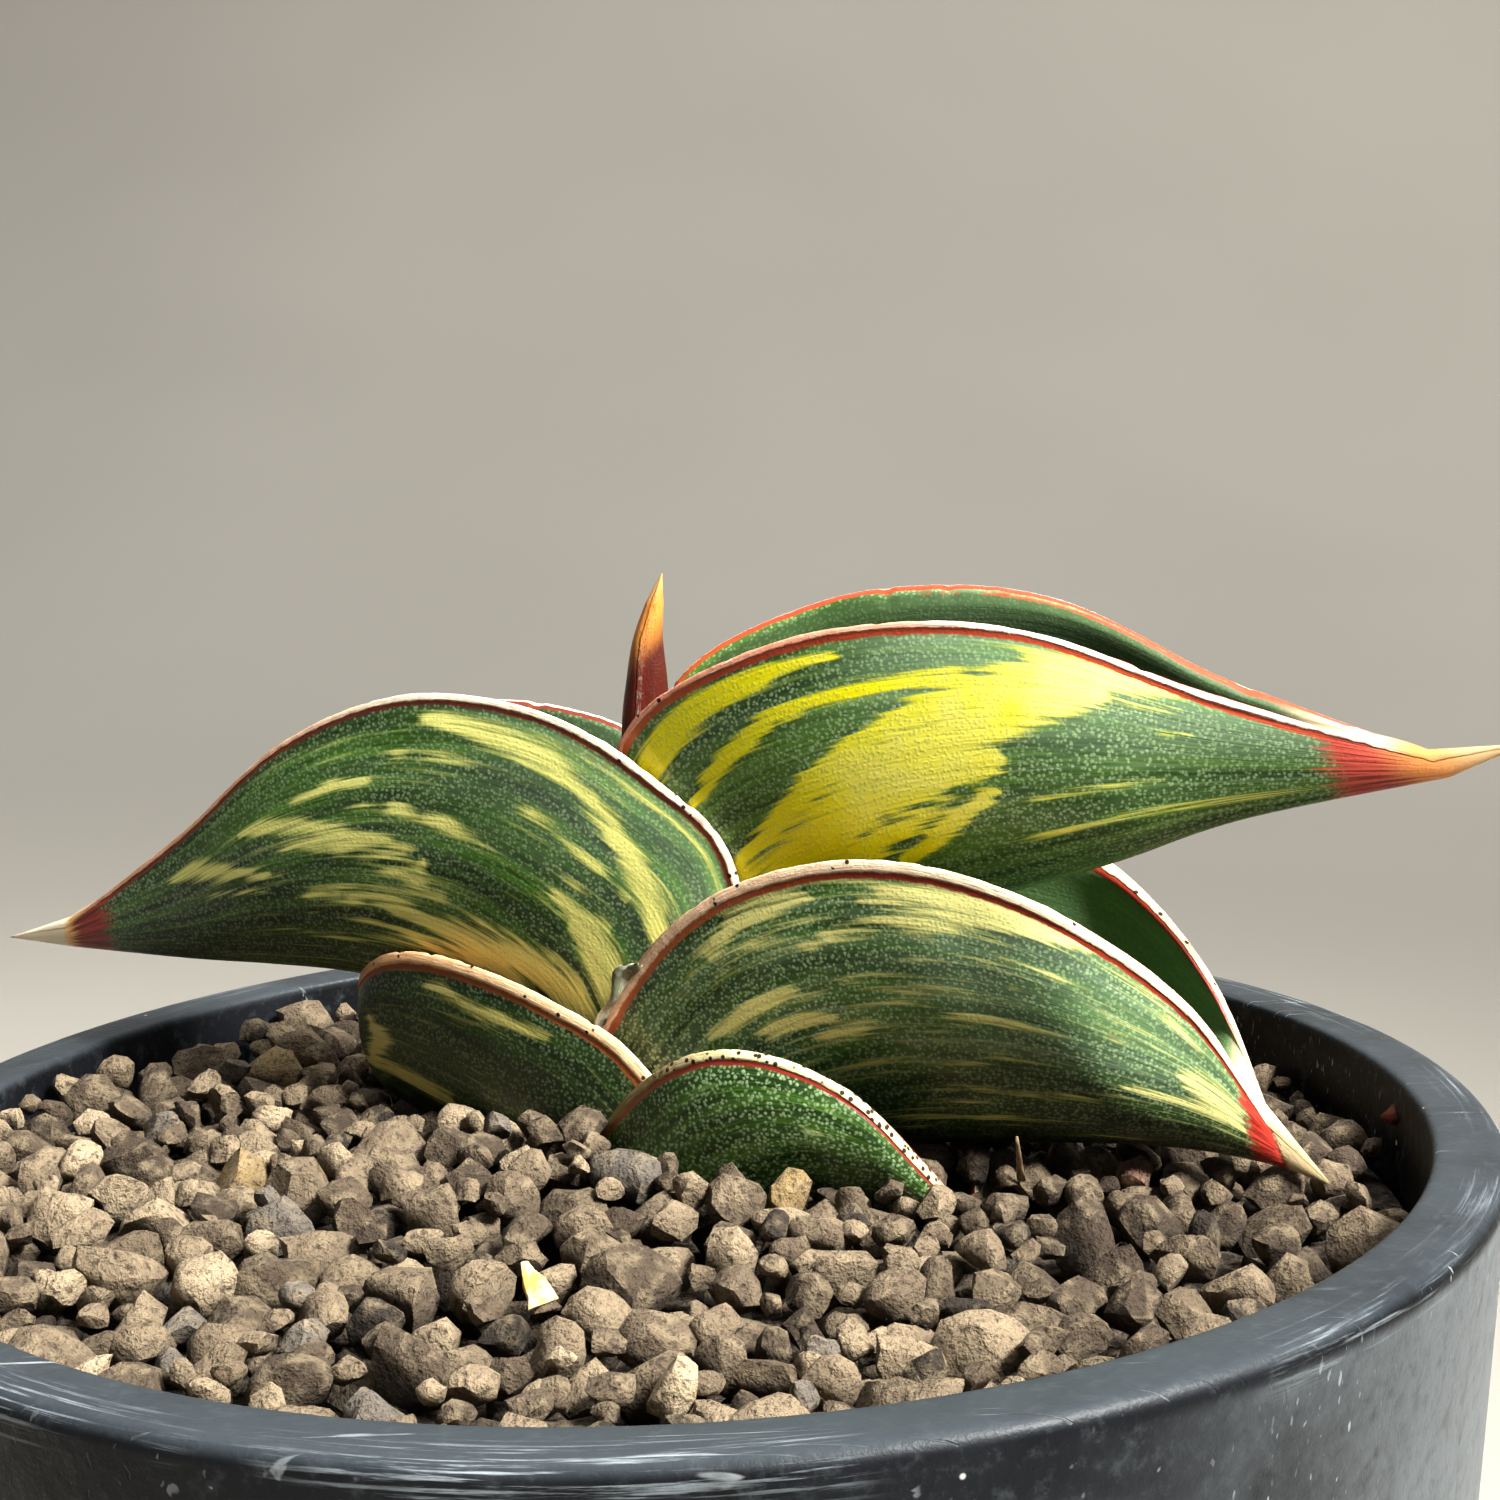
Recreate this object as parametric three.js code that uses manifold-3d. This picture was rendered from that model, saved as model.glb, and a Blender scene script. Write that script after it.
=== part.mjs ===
// A potted variegated sansevieria: a fan of boat-shaped leaves in a round pot of gravel.
// Millimetres, +Z up. The origin is the centre of the pot's base, and azimuth 0 points along +X.
import * as THREE from "three";
import { ParametricGeometry } from "three/addons/geometries/ParametricGeometry.js";
import { mergeVertices } from "three/addons/utils/BufferGeometryUtils.js";
import Module from "manifold-3d";

const wasm = await Module();
wasm.setup();
const { degToRad, lerp, smoothstep } = THREE.MathUtils;

// The pot: a thick-walled tapered bowl on a foot ring.
const POT_HEIGHT = 90;
const RIM_RADIUS = 60;
const RIM_BAND = 5;
const OUTER_SLOPE = 0.075;
const INNER_SLOPE = 0.062;
const RIM_ROUNDING = 1.4;
const FLOOR_TOP = 8;
const FOOT_HEIGHT = 3;
const FOOT_INNER_RADIUS = 45;
const FOOT_CHAMFER = 0.8;
const FOOT_SLOTS = 3;
const FOOT_SLOT_WIDTH = 10;
const DRAIN_HOLES = 6;
const DRAIN_RADIUS = 3.5;
const DRAIN_CIRCLE_RADIUS = 26;
const CENTRE_DRAIN_RADIUS = 4.5;
const POT_SIDES = 46;

// The gravel: a bed whose top is raised into grains. GRAIN_STEPS mesh steps make one grain:
// the first step is the crevice beside it, the others its flat top.
const GRAIN_TOP_DEPTH = 3.2;
const BED_TILT = 0.015;
const GRAIN_SIZE = 6.3;
const GRAIN_STEPS = 3;
const CREVICE_DEPTH = 2.4;
const GRAIN_UNEVENNESS = 1.2;
const RELIEF_THICKNESS = 8;

// Gap between neighbouring pieces, which touch on the real plant.
const GAP = 0.3;
const CUT_GAP = 0.45;

// The leaves: all rise from the crown, which stands a little behind the pot's middle.
const CROWN_X = 1;
const CROWN_Y = 7;
const CROWN_TOP = POT_HEIGHT - 13.6;
const MARGIN_THICKNESS = 1.3;
const MARGIN_RELIEF = 0.25;
const BLADE_ROWS = 20;
const SPINE_ROWS = 3;
const SPEAR_ROWS = 9;
const INNER_FACETS = 8;

// How far a leaf wraps around, in degrees from its keel to each margin, from base to tip.
const CLASP_ANGLES = [125, 118, 106, 101, 93];

// Where the section's outer corners lie, as shares of that angle. The horny margin is the last step.
const OUTER_SHARES = [-1, -0.93, -0.9, -0.72, -0.48, -0.24, 0, 0.24, 0.48, 0.72, 0.9, 0.93, 1];
const MARGIN_SHARE = 0.92;

// Each leaf in its own upright plane. A margin or keel point is [out from the crown, above the rim],
// from the base to the spine. The widths are half widths at even steps from base to spine.
// lean raises the side that lies to the left of the leaf's azimuth, at its base and at its spine.
const LEAVES = {
  leaf_small_right: {
    azimuth: -38,
    lean: [-0.1, -0.6],
    margin: [
      [-7.4, -17], [-4.4, -10], [1.6, -4.3], [6.2, -1.2], [11.2, 0.8],
      [16.6, 1.1], [21.4, -0.4], [24.6, -3.6], [25.8, -5.7],
    ],
    keel: [
      [10, -17], [13.4, -12], [17, -10], [19, -9], [21, -8.4],
      [22.8, -8], [24.4, -7.6], [25.6, -7.2], [26.4, -6.9],
    ],
    widths: [10.6, 11.8, 10.8, 7, 1.2],
    tip: [26.6, -9],
    depth: 0.74,
  },
  leaf_small_left: {
    azimuth: 148,
    lean: [0, 0],
    margin: [
      [-7.6, -17], [-6.5, -3], [-2, 4.3], [5, 7.9], [13, 10],
      [20, 10.2], [25, 7.8], [27.6, 3.4], [28.6, -0.8],
    ],
    keel: [
      [8.8, -17], [13, -11], [17, -8], [20, -7.2], [22.4, -6.4],
      [24.8, -5.4], [26.8, -4.4], [28.2, -3.6], [29, -3.2],
    ],
    widths: [9, 10.6, 10.4, 8.6, 1.3],
    tip: [29.4, -5],
    depth: 0.72,
  },
  leaf_lower_right: {
    azimuth: -20,
    lean: [0, 0],
    margin: [
      [-6, -17], [-6.2, -1], [-2, 8.3], [5, 15.6], [14, 19.2],
      [23, 19.4], [32, 16.3], [40, 9.3], [45.7, 1.6],
    ],
    keel: [
      [7.2, -17], [10.5, -9], [15, -5.2], [19, -3.6], [24, -3],
      [29.5, -2.6], [35.5, -2.3], [41, -2.6], [46.2, -3.5],
    ],
    widths: [7.2, 8.4, 10, 9.6, 1.4],
    tip: [49.4, -4.6],
    depth: 0.68,
  },
  leaf_upper_left: {
    azimuth: 163,
    lean: [0.16, 0.16],
    margin: [
      [-4.6, -17], [-7, 2], [-6.6, 17], [-1, 23.4], [8, 28.8],
      [19, 30.2], [30, 27.2], [41, 19.1], [53.6, 11],
    ],
    keel: [
      [5.4, -17], [9, -6], [13.5, 0.5], [17, 4], [21.5, 6.2],
      [28, 7.5], [35, 7.9], [43, 8.1], [54, 8.7],
    ],
    widths: [5.2, 6.8, 6.4, 5.4, 1.1],
    tip: [60.2, 9.3],
    depth: 0.66,
  },
  leaf_upper_right: {
    azimuth: -19,
    lean: [0.6, 0.07],
    margin: [
      [-3.2, -17], [-4.4, 3], [-4.6, 20.5], [-0.6, 30], [9, 35.1],
      [19, 36.9], [29.5, 35.9], [41.8, 31.2], [57.2, 26.3],
    ],
    keel: [
      [3.4, -17], [5, -2], [9.5, 8], [15.5, 12], [21, 14.2],
      [27.5, 16.2], [34.5, 18.4], [43.2, 21.6], [57.4, 24.2],
    ],
    widths: [3.2, 4, 7.2, 6.4, 1.2],
    tip: [62, 27.2],
    depth: 0.64,
  },
  // The youngest is still rolled up: a slim solid spear with only its spine in sight.
  leaf_spear: {
    azimuth: 172,
    lean: [0, 0],
    margin: [
      [0.6, -17], [1.2, -2], [1.8, 12], [1.9, 22],
      [1.8, 28], [1.6, 31.5], [1.4, 34.5], [0.8, 37.2],
    ],
    keel: [
      [2.1, -17], [3.2, -2], [3.9, 12], [3.9, 22],
      [3.65, 28], [3.15, 31.5], [2.55, 34.5], [1.5, 37.2],
    ],
    widths: [1.5, 2.1, 2.1, 1.7, 0.7],
    tip: [0.1, 39.6],
    depth: -1,
  },
};

// The crown under the leaves, and its thick roots: [azimuth, reach, depth].
const CROWN_PROFILE = [
  [0, -26], [3, -25], [5, -20], [7.4, -12],
  [11, -5], [12, -1.6], [11.2, 0], [0, 0],
];
const ROOTS = [[20, 26, 38], [95, 20, 44], [170, 30, 34], [245, 24, 42], [315, 28, 40]];
const ROOT_RADIUS = 1.5;
const ROOT_START_DEPTH = 14;

// A repeatable random number from -0.5 to 0.5 for a place in a pattern.
function scatter(column, row, kind) {
  const mixed = Math.sin(column * 127.1 + row * 311.7 + kind * 74.7) * 43758.5453;
  return mixed - Math.floor(mixed) - 0.5;
}

// A closed three.js geometry as a solid that can be joined and cut.
function solidOf(geometry) {
  const bare = geometry.clone();
  bare.deleteAttribute("normal");
  bare.deleteAttribute("uv");
  const merged = mergeVertices(bare, 1e-4);
  const corners = [];
  for (let i = 0; i < merged.index.count; i += 3) {
    const face = [0, 1, 2].map((k) => merged.index.getX(i + k));
    if (new Set(face).size === 3) corners.push(...face);
  }
  const triVerts = new Uint32Array(corners);
  const vertProperties = merged.attributes.position.array;
  const solid = new wasm.Manifold(new wasm.Mesh({ numProp: 3, vertProperties, triVerts }));
  if (solid.volume() > 0) return solid;
  return new wasm.Manifold(new wasm.Mesh({ numProp: 3, vertProperties, triVerts: triVerts.reverse() }));
}

// A solid back as a three.js geometry.
function geometryOf(solid) {
  const mesh = solid.getMesh();
  const geometry = new THREE.BufferGeometry();
  geometry.setAttribute("position", new THREE.BufferAttribute(mesh.vertProperties, 3));
  geometry.setIndex(new THREE.BufferAttribute(mesh.triVerts, 1));
  return geometry;
}

// The largest of the pieces that a cut leaves.
function largestPiece(solid) {
  return solid.decompose().reduce((best, piece) => (piece.volume() > best.volume() ? piece : best));
}

// A lathe around the vertical axis from [radius, height] pairs.
function latheAround(profile, sides) {
  const points = profile.map(([radius, height]) => new THREE.Vector2(radius, height));
  return new THREE.LatheGeometry(points, sides).rotateX(Math.PI / 2);
}

// A smooth curve through evenly spaced values, read at a share of its length.
function smoothValue(values, share) {
  const points = values.map((value, i) => new THREE.Vector2(i, value));
  return new THREE.SplineCurve(points).getPoint(share).y;
}

function smoothPoint(pairs, share) {
  return new THREE.SplineCurve(pairs.map(([x, y]) => new THREE.Vector2(x, y))).getPoint(share);
}

// One leaf section: an ellipse round its centre, with the keel at its low end.
function leafStation(leaf, share) {
  const margin = smoothPoint(leaf.margin, share);
  const keel = smoothPoint(leaf.keel, share);
  const isSpear = leaf.depth < 0;
  const clasp = degToRad(isSpear ? 90 : smoothValue(CLASP_ANGLES, share));
  const reach = keel.distanceTo(margin) / (1 - Math.cos(clasp));
  const down = keel.clone().sub(margin).normalize();
  const open = smoothstep(share, 0, 0.1) * (1 - smoothstep(share, 0.82, 0.97));
  const closed = -0.5 * smoothstep(share, 0.93, 1);
  return {
    clasp,
    reach,
    down,
    centre: keel.clone().addScaledVector(down, -reach),
    halfWidth: smoothValue(leaf.widths, share),
    channel: isSpear ? -1 : lerp(closed, leaf.depth, open),
    open,
  };
}

// The section's corner k as [out, sideways, up]. A cutter is the leaf grown by a gap, channel filled.
function leafCorner(station, k, grow) {
  const { clasp, reach, down, centre, halfWidth, channel, open } = station;
  const lastOuter = OUTER_SHARES.length - 1;
  const isOuter = k <= lastOuter;
  const innerShare = 1 - (2 * (k - lastOuter - 1)) / INNER_FACETS;
  const share = isOuter ? OUTER_SHARES[k] : innerShare;
  const angle = share * clasp;
  let depth = (reach + grow) * Math.cos(angle);
  let side = (halfWidth + grow) * Math.sin(angle);
  if (isOuter && Math.abs(share) > MARGIN_SHARE) side += Math.sign(share) * MARGIN_RELIEF * open;
  if (!isOuter && grow > 0 && channel > -1) {
    depth = reach * Math.cos(clasp) - grow;
    side = (halfWidth + grow) * Math.sin(clasp) * share;
  } else if (!isOuter) {
    depth = channel * (reach + grow) * Math.cos(angle);
    const thickness = MARGIN_THICKNESS * smoothstep(channel, -0.2, 0.3);
    side = (halfWidth + grow - thickness) * Math.sin(angle);
    if (channel < 0) depth += (1 + channel) * reach * Math.cos(clasp) * Math.abs(share);
  }
  return [centre.x + depth * down.x, side, centre.y + depth * down.y];
}

// A leaf as a closed skin: rows from the base's middle, up the blade, to the point of the spine.
function leafSolid(leaf, bladeRows, grow = 0) {
  const corners = OUTER_SHARES.length + INNER_FACETS + 1;
  const rows = bladeRows + 1 + SPINE_ROWS;
  const azimuth = degToRad(leaf.azimuth);
  const [tipOut, tipUp] = leaf.tip;
  const skin = (around, along, target) => {
    const row = Math.round(along * rows);
    const k = Math.round(around * corners) % corners;
    const station = leafStation(leaf, Math.min(Math.max(row - 1, 0) / bladeRows, 1));
    let [out, side, up] = leafCorner(station, k, grow);
    const shrink = row === 0 ? 0 : 1 - Math.max(row - 1 - bladeRows, 0) / SPINE_ROWS;
    const towards = row === 0 ? [station.centre.x, station.centre.y] : [tipOut, tipUp];
    out = lerp(towards[0], out, shrink);
    up = lerp(towards[1], up, shrink);
    side *= shrink;
    up += side * lerp(leaf.lean[1], leaf.lean[0], (1 - along) ** 3);
    if (row === 0) up -= grow;
    target.set(
      CROWN_X + out * Math.cos(azimuth) - side * Math.sin(azimuth),
      CROWN_Y + out * Math.sin(azimuth) + side * Math.cos(azimuth),
      POT_HEIGHT + up,
    );
  };
  return solidOf(new ParametricGeometry(skin, corners, rows));
}

function crownSolid(grow = 0) {
  const profile = CROWN_PROFILE.map(([radius, height]) => [
    radius > 0 ? radius + grow : 0,
    height + (height < -20 ? -grow : 0) + (height > -2 ? grow : 0),
  ]);
  const stock = latheAround(profile, 20).translate(CROWN_X, CROWN_Y, CROWN_TOP);
  return ROOTS.reduce((crown, root) => crown.add(rootSolid(root, grow)), solidOf(stock));
}

function rootSolid([azimuth, reach, depth], grow) {
  const turn = degToRad(azimuth);
  const place = (out, down) =>
    new THREE.Vector3(CROWN_X + out * Math.cos(turn), CROWN_Y + out * Math.sin(turn), CROWN_TOP - down);
  const path = new THREE.CatmullRomCurve3([
    place(0.5, ROOT_START_DEPTH),
    place(reach * 0.55, ROOT_START_DEPTH + 3),
    place(reach + grow, depth + grow),
  ]);
  const radius = ROOT_RADIUS + grow;
  const section = new THREE.Shape().absarc(0, 0, radius, 0, 2 * Math.PI);
  return solidOf(new THREE.ExtrudeGeometry(section, { extrudePath: path, steps: 6, curveSegments: 3 }));
}

const outerRadius = (height) => RIM_RADIUS - OUTER_SLOPE * (POT_HEIGHT - height);
const innerRadius = (height) => RIM_RADIUS - RIM_BAND - INNER_SLOPE * (POT_HEIGHT - height);

function potSolid() {
  const roundingStart = POT_HEIGHT - RIM_ROUNDING;
  const softEdge = 0.4;
  const profile = [
    [0, FOOT_HEIGHT],
    [FOOT_INNER_RADIUS - 1, FOOT_HEIGHT],
    [FOOT_INNER_RADIUS, 0],
    [outerRadius(0) - FOOT_CHAMFER, 0],
    [outerRadius(FOOT_CHAMFER), FOOT_CHAMFER],
    [outerRadius(roundingStart), roundingStart],
    [RIM_RADIUS - 0.45, POT_HEIGHT - 0.45],
    [RIM_RADIUS - RIM_ROUNDING, POT_HEIGHT],
    [innerRadius(POT_HEIGHT) + softEdge, POT_HEIGHT],
    [innerRadius(POT_HEIGHT), POT_HEIGHT - softEdge],
    [innerRadius(FLOOR_TOP + 3), FLOOR_TOP + 3],
    [innerRadius(FLOOR_TOP) - 3, FLOOR_TOP],
    [0, FLOOR_TOP],
  ];
  let pot = solidOf(latheAround(profile, POT_SIDES));
  for (let i = 0; i <= DRAIN_HOLES; i += 1) {
    const isCentre = i === DRAIN_HOLES;
    const radius = isCentre ? CENTRE_DRAIN_RADIUS : DRAIN_RADIUS;
    const circle = isCentre ? 0 : DRAIN_CIRCLE_RADIUS;
    const turn = (2 * Math.PI * i) / DRAIN_HOLES;
    const drill = new THREE.CylinderGeometry(radius, radius, 3 * FLOOR_TOP, 16).rotateX(Math.PI / 2);
    pot = pot.subtract(solidOf(drill.translate(circle * Math.cos(turn), circle * Math.sin(turn), 0)));
  }
  for (let i = 0; i < FOOT_SLOTS; i += 1) {
    const turn = Math.PI / 2 + (2 * Math.PI * i) / FOOT_SLOTS;
    const slot = new THREE.BoxGeometry(RIM_RADIUS - FOOT_INNER_RADIUS + 4, FOOT_SLOT_WIDTH, FOOT_HEIGHT);
    slot.translate((RIM_RADIUS + FOOT_INNER_RADIUS) / 2, 0, FOOT_HEIGHT / 4).rotateZ(turn);
    pot = pot.subtract(solidOf(slot));
  }
  return pot;
}

// Grains packed side by side, as a block that is later trimmed round: each has a flat, tilted top
// at a height of its own, and every other row is shifted by half a grain.
function grainRelief() {
  const count = 2 * Math.ceil(RIM_RADIUS / GRAIN_SIZE);
  const steps = count * GRAIN_STEPS;
  const width = count * GRAIN_SIZE;
  const step = GRAIN_SIZE / GRAIN_STEPS;
  const block = new THREE.BoxGeometry(width, width, RELIEF_THICKNESS, steps, steps, 1);
  block.translate(0, 0, -RELIEF_THICKNESS / 2);
  const corners = block.attributes.position;
  for (let i = 0; i < corners.count; i += 1) {
    if (corners.getZ(i) < -RELIEF_THICKNESS / 2) continue;
    const column = Math.round(corners.getX(i) / step + steps / 2);
    const row = Math.round(corners.getY(i) / step + steps / 2);
    const grain = [Math.floor(column / GRAIN_STEPS), Math.floor(row / GRAIN_STEPS)];
    const inCrevice = column % GRAIN_STEPS === 0 || row % GRAIN_STEPS === 0;
    const stagger = row % GRAIN_STEPS === 0 ? 0 : ((grain[1] % 2) - 0.5) * 0.5 * GRAIN_SIZE;
    const drift = inCrevice ? 0.4 : 0.6;
    const x = corners.getX(i) + stagger + scatter(column, row, 1) * drift * step;
    const y = corners.getY(i) + scatter(column, row, 2) * drift * step;
    const lift = inCrevice ? -CREVICE_DEPTH : scatter(...grain, 3) * GRAIN_UNEVENNESS;
    const height = POT_HEIGHT - GRAIN_TOP_DEPTH - BED_TILT * x + lift;
    corners.setXYZ(i, x, y, height + scatter(column, row, 4) * GRAIN_UNEVENNESS);
  }
  for (let i = 0; i < corners.count; i += 1) {
    if (corners.getZ(i) < 0) corners.setZ(i, POT_HEIGHT - GRAIN_TOP_DEPTH - RELIEF_THICKNESS);
  }
  return solidOf(block);
}

// The bed with its grains, trimmed to the pot's inside, with plain holes where the plant stands.
function gravelSolid(cutters) {
  const bottom = FLOOR_TOP + GAP;
  const inside = (top) => [
    [0, bottom],
    [innerRadius(FLOOR_TOP) - 3 - GAP, bottom],
    [innerRadius(FLOOR_TOP + 3) - GAP, FLOOR_TOP + 3],
    [innerRadius(top) - GAP, top],
    [0, top],
  ];
  const buried = POT_HEIGHT - GRAIN_TOP_DEPTH - RELIEF_THICKNESS / 2 - CREVICE_DEPTH / 2;
  const trimmed = grainRelief().intersect(solidOf(latheAround(inside(POT_HEIGHT), POT_SIDES)));
  const gravel = solidOf(latheAround(inside(buried), POT_SIDES)).add(trimmed);
  return largestPiece(cutters.reduce((rest, cutter) => rest.subtract(cutter), gravel));
}

function material(color, roughness) {
  return new THREE.MeshStandardMaterial({ color, roughness, metalness: 0 });
}

const GREENS = {
  leaf_small_right: 0x35563a,
  leaf_small_left: 0x3c6140,
  leaf_lower_right: 0x3f6a45,
  leaf_upper_left: 0x5c8a44,
  leaf_upper_right: 0x8fae3c,
  leaf_spear: 0xd98a4a,
};

const group = new THREE.Group();

function addPiece(name, solid, look) {
  const mesh = new THREE.Mesh(geometryOf(solid), look);
  mesh.name = name;
  group.add(mesh);
}

addPiece("pot", potSolid(), material(0x34383c, 0.55));
addPiece("crown_and_roots", crownSolid(), material(0xcdbb94, 0.8));
// The leaves stand on the crown. From the youngest outwards, each clasps those inside it.
const cutters = [crownSolid(CUT_GAP)];
for (const [name, leaf] of Object.entries(LEAVES).reverse()) {
  const rows = leaf.depth < 0 ? SPEAR_ROWS : BLADE_ROWS;
  const blade = cutters.reduce((rest, cutter) => rest.subtract(cutter), leafSolid(leaf, rows));
  addPiece(name, largestPiece(blade), material(GREENS[name], 0.42));
  cutters.push(leafSolid(leaf, rows, CUT_GAP));
}
addPiece("gravel", gravelSolid(cutters), material(0x8d8275, 0.95));

export default group;
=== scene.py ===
# %% [markdown]
# # A potted variegated sansevieria
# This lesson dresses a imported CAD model: a small fan of boat-shaped leaves in a round grey pot.
# The CAD solids set the sizes and places, and the measures here repeat theirs. Each cell builds one
# real piece or one finish over them.
# Lengths below are millimetres, as a grower would measure them, and MM turns them into metres.

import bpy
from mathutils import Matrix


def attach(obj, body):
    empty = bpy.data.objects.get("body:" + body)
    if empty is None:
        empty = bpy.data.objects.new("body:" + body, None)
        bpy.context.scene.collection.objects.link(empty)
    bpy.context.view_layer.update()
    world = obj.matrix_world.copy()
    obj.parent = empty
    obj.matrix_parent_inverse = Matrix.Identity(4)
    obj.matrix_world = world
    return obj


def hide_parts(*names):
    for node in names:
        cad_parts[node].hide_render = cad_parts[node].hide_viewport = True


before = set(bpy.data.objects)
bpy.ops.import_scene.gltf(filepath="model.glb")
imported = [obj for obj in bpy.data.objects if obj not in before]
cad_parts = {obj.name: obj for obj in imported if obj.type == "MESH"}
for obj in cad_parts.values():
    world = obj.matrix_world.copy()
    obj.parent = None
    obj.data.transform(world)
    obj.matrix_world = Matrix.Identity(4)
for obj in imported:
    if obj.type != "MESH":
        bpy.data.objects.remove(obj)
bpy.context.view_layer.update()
print("CAD nodes:", sorted(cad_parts))

# %% [markdown]
# ## Tools
# Every piece below is drawn as a bmesh, Blender's own kit for meshes. One function turns it into a
# shown object, tells the frame what it rides on and hides the CAD nodes it stands for. Doing that
# in one place keeps leaves, pot and gravel alike.

# %% Tools of the lesson
import math

import bmesh
import bpy
import numpy as np
from mathutils import Matrix, Vector, noise
from mathutils.bvhtree import BVHTree

MM = 0.001
scene = bpy.context.scene


def finished_piece(name, bm, material, replaced=(), crease=None):
    """A bmesh as a shown, smooth object at the origin that rides with the plant and its pot.
    Edges sharper than crease, in degrees, stay crisp."""
    mesh = bpy.data.meshes.new(name)
    bm.to_mesh(mesh)
    bm.free()
    mesh.materials.append(material)
    mesh.polygons.foreach_set("use_smooth", [True] * len(mesh.polygons))
    if crease is not None:
        mesh.set_sharp_from_angle(angle=math.radians(crease))
    piece = bpy.data.objects.new(name, mesh)
    scene.collection.objects.link(piece)
    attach(piece, "root")
    if replaced:
        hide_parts(*replaced)
    print(name, "has", len(mesh.polygons), "faces")
    return piece


# %% [markdown]
# ## Camera
# A phone held close, a little above the rim and looking slightly down. The lens was worked out
# from the rim: its two ellipse axes and its place in the picture fix distance, tilt and roll.

# %% Camera
CAMERA_PLACE = Vector((7.0956, -164.1260, 139.5120)) * MM
CAMERA_RIGHT = Vector((0.99943975, -0.00460825, -0.0331504))
CAMERA_UP = Vector((0.03346916, 0.13760943, 0.98992094))
CAMERA_BACK = Vector((0.0, -0.99047585, 0.13768657))
CAMERA_LENS = 54.17

camera_data = bpy.data.cameras.new("camera")
camera_data.lens = CAMERA_LENS
camera_data.clip_start = 0.01
camera = bpy.data.objects.new("camera", camera_data)
scene.collection.objects.link(camera)
axes = Matrix((CAMERA_RIGHT, CAMERA_UP, CAMERA_BACK)).transposed()
camera.matrix_world = Matrix.Translation(CAMERA_PLACE) @ axes.to_4x4()
scene.camera = camera
print("camera at", [round(v, 4) for v in CAMERA_PLACE])

# %% [markdown]
# ## Node helpers
# All finishes are node materials. A few short helpers keep them readable: one adds a node with its
# inputs, one mixes two colours, one turns a range of values into a soft mask from 0 to 1.


# %% Node helpers
def srgb(code):
    """A colour code such as 0x4B7A20, as linear red, green, blue and alpha."""
    parts = [((code >> shift) & 255) / 255 for shift in (16, 8, 0)]
    return (*[p / 12.92 if p <= 0.04045 else ((p + 0.055) / 1.055) ** 2.4 for p in parts], 1.0)


class Finish:
    """A node material under construction, with its Principled shader."""

    def __init__(self, name):
        self.material = bpy.data.materials.new(name)
        self.material.use_nodes = True
        self.tree = self.material.node_tree
        self.shader = self.tree.nodes["Principled BSDF"]
        self.place = self.add("TexCoord").outputs["Object"]

    def add(self, kind, inputs=None, **settings):
        node = self.tree.nodes.new("ShaderNode" + kind)
        for key, value in settings.items():
            setattr(node, key, value)
        for key, value in (inputs or {}).items():
            if isinstance(value, bpy.types.NodeSocket):
                self.tree.links.new(value, node.inputs[key])
            else:
                node.inputs[key].default_value = value
        return node

    def attribute(self, name):
        return self.add("Attribute", attribute_name=name).outputs["Fac"]

    def maths(self, operation, a, b=0.0, c=0.0, clamp=False):
        node = self.add("Math", {0: a, 1: b, 2: c}, operation=operation, use_clamp=clamp)
        return node.outputs[0]

    def mask(self, value, low, high):
        """0 below low, 1 above high, soft between. low above high turns it round."""
        flip = low > high
        inputs = {"Value": value, "From Min": min(low, high), "From Max": max(low, high)}
        inputs.update({"To Min": 1.0 if flip else 0.0, "To Max": 0.0 if flip else 1.0})
        return self.add("MapRange", inputs, interpolation_type="SMOOTHSTEP").outputs["Result"]

    def mix(self, factor, a, b):
        node = self.add("Mix", {0: factor, 6: a, 7: b}, data_type="RGBA")
        return node.outputs[2]

    def vector(self, x=0.0, y=0.0, z=0.0):
        return self.add("CombineXYZ", {0: x, 1: y, 2: z}).outputs[0]

    def noise(self, where, scale, detail=3.0, roughness=0.55):
        inputs = {"Vector": where, "Scale": scale, "Detail": detail, "Roughness": roughness}
        return self.add("TexNoise", inputs).outputs["Fac"]

    def stretched(self, where, stretch, turn=(0.0, 0.0, 0.0)):
        return self.add("Mapping", {"Vector": where, "Scale": stretch, "Rotation": turn}).outputs[0]

    def cells(self, where, scale, jitter=1.0):
        return self.add("TexVoronoi", {"Vector": where, "Scale": scale, "Randomness": jitter})

    def split(self, vector):
        """The three parts of a vector, or of a colour such as the one of a random cell."""
        return self.add("SeparateXYZ", {0: vector}).outputs[:3]

    def bump(self, height, depth, below=None):
        """Raises the surface by height, which runs from 0 to 1, times depth in millimetres."""
        inputs = {"Height": height, "Distance": depth * MM, "Strength": 1.0}
        if below is not None:
            inputs["Normal"] = below
        return self.add("Bump", inputs).outputs["Normal"]

    def done(self, colour, roughness, normal=None, specular=0.5):
        links = self.tree.links
        for key, value in {"Base Color": colour, "Roughness": roughness, "Normal": normal}.items():
            if isinstance(value, bpy.types.NodeSocket):
                links.new(value, self.shader.inputs[key])
            elif value is not None:
                self.shader.inputs[key].default_value = value
        self.shader.inputs["Specular IOR Level"].default_value = specular
        return self.material


print("helpers ready")

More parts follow.
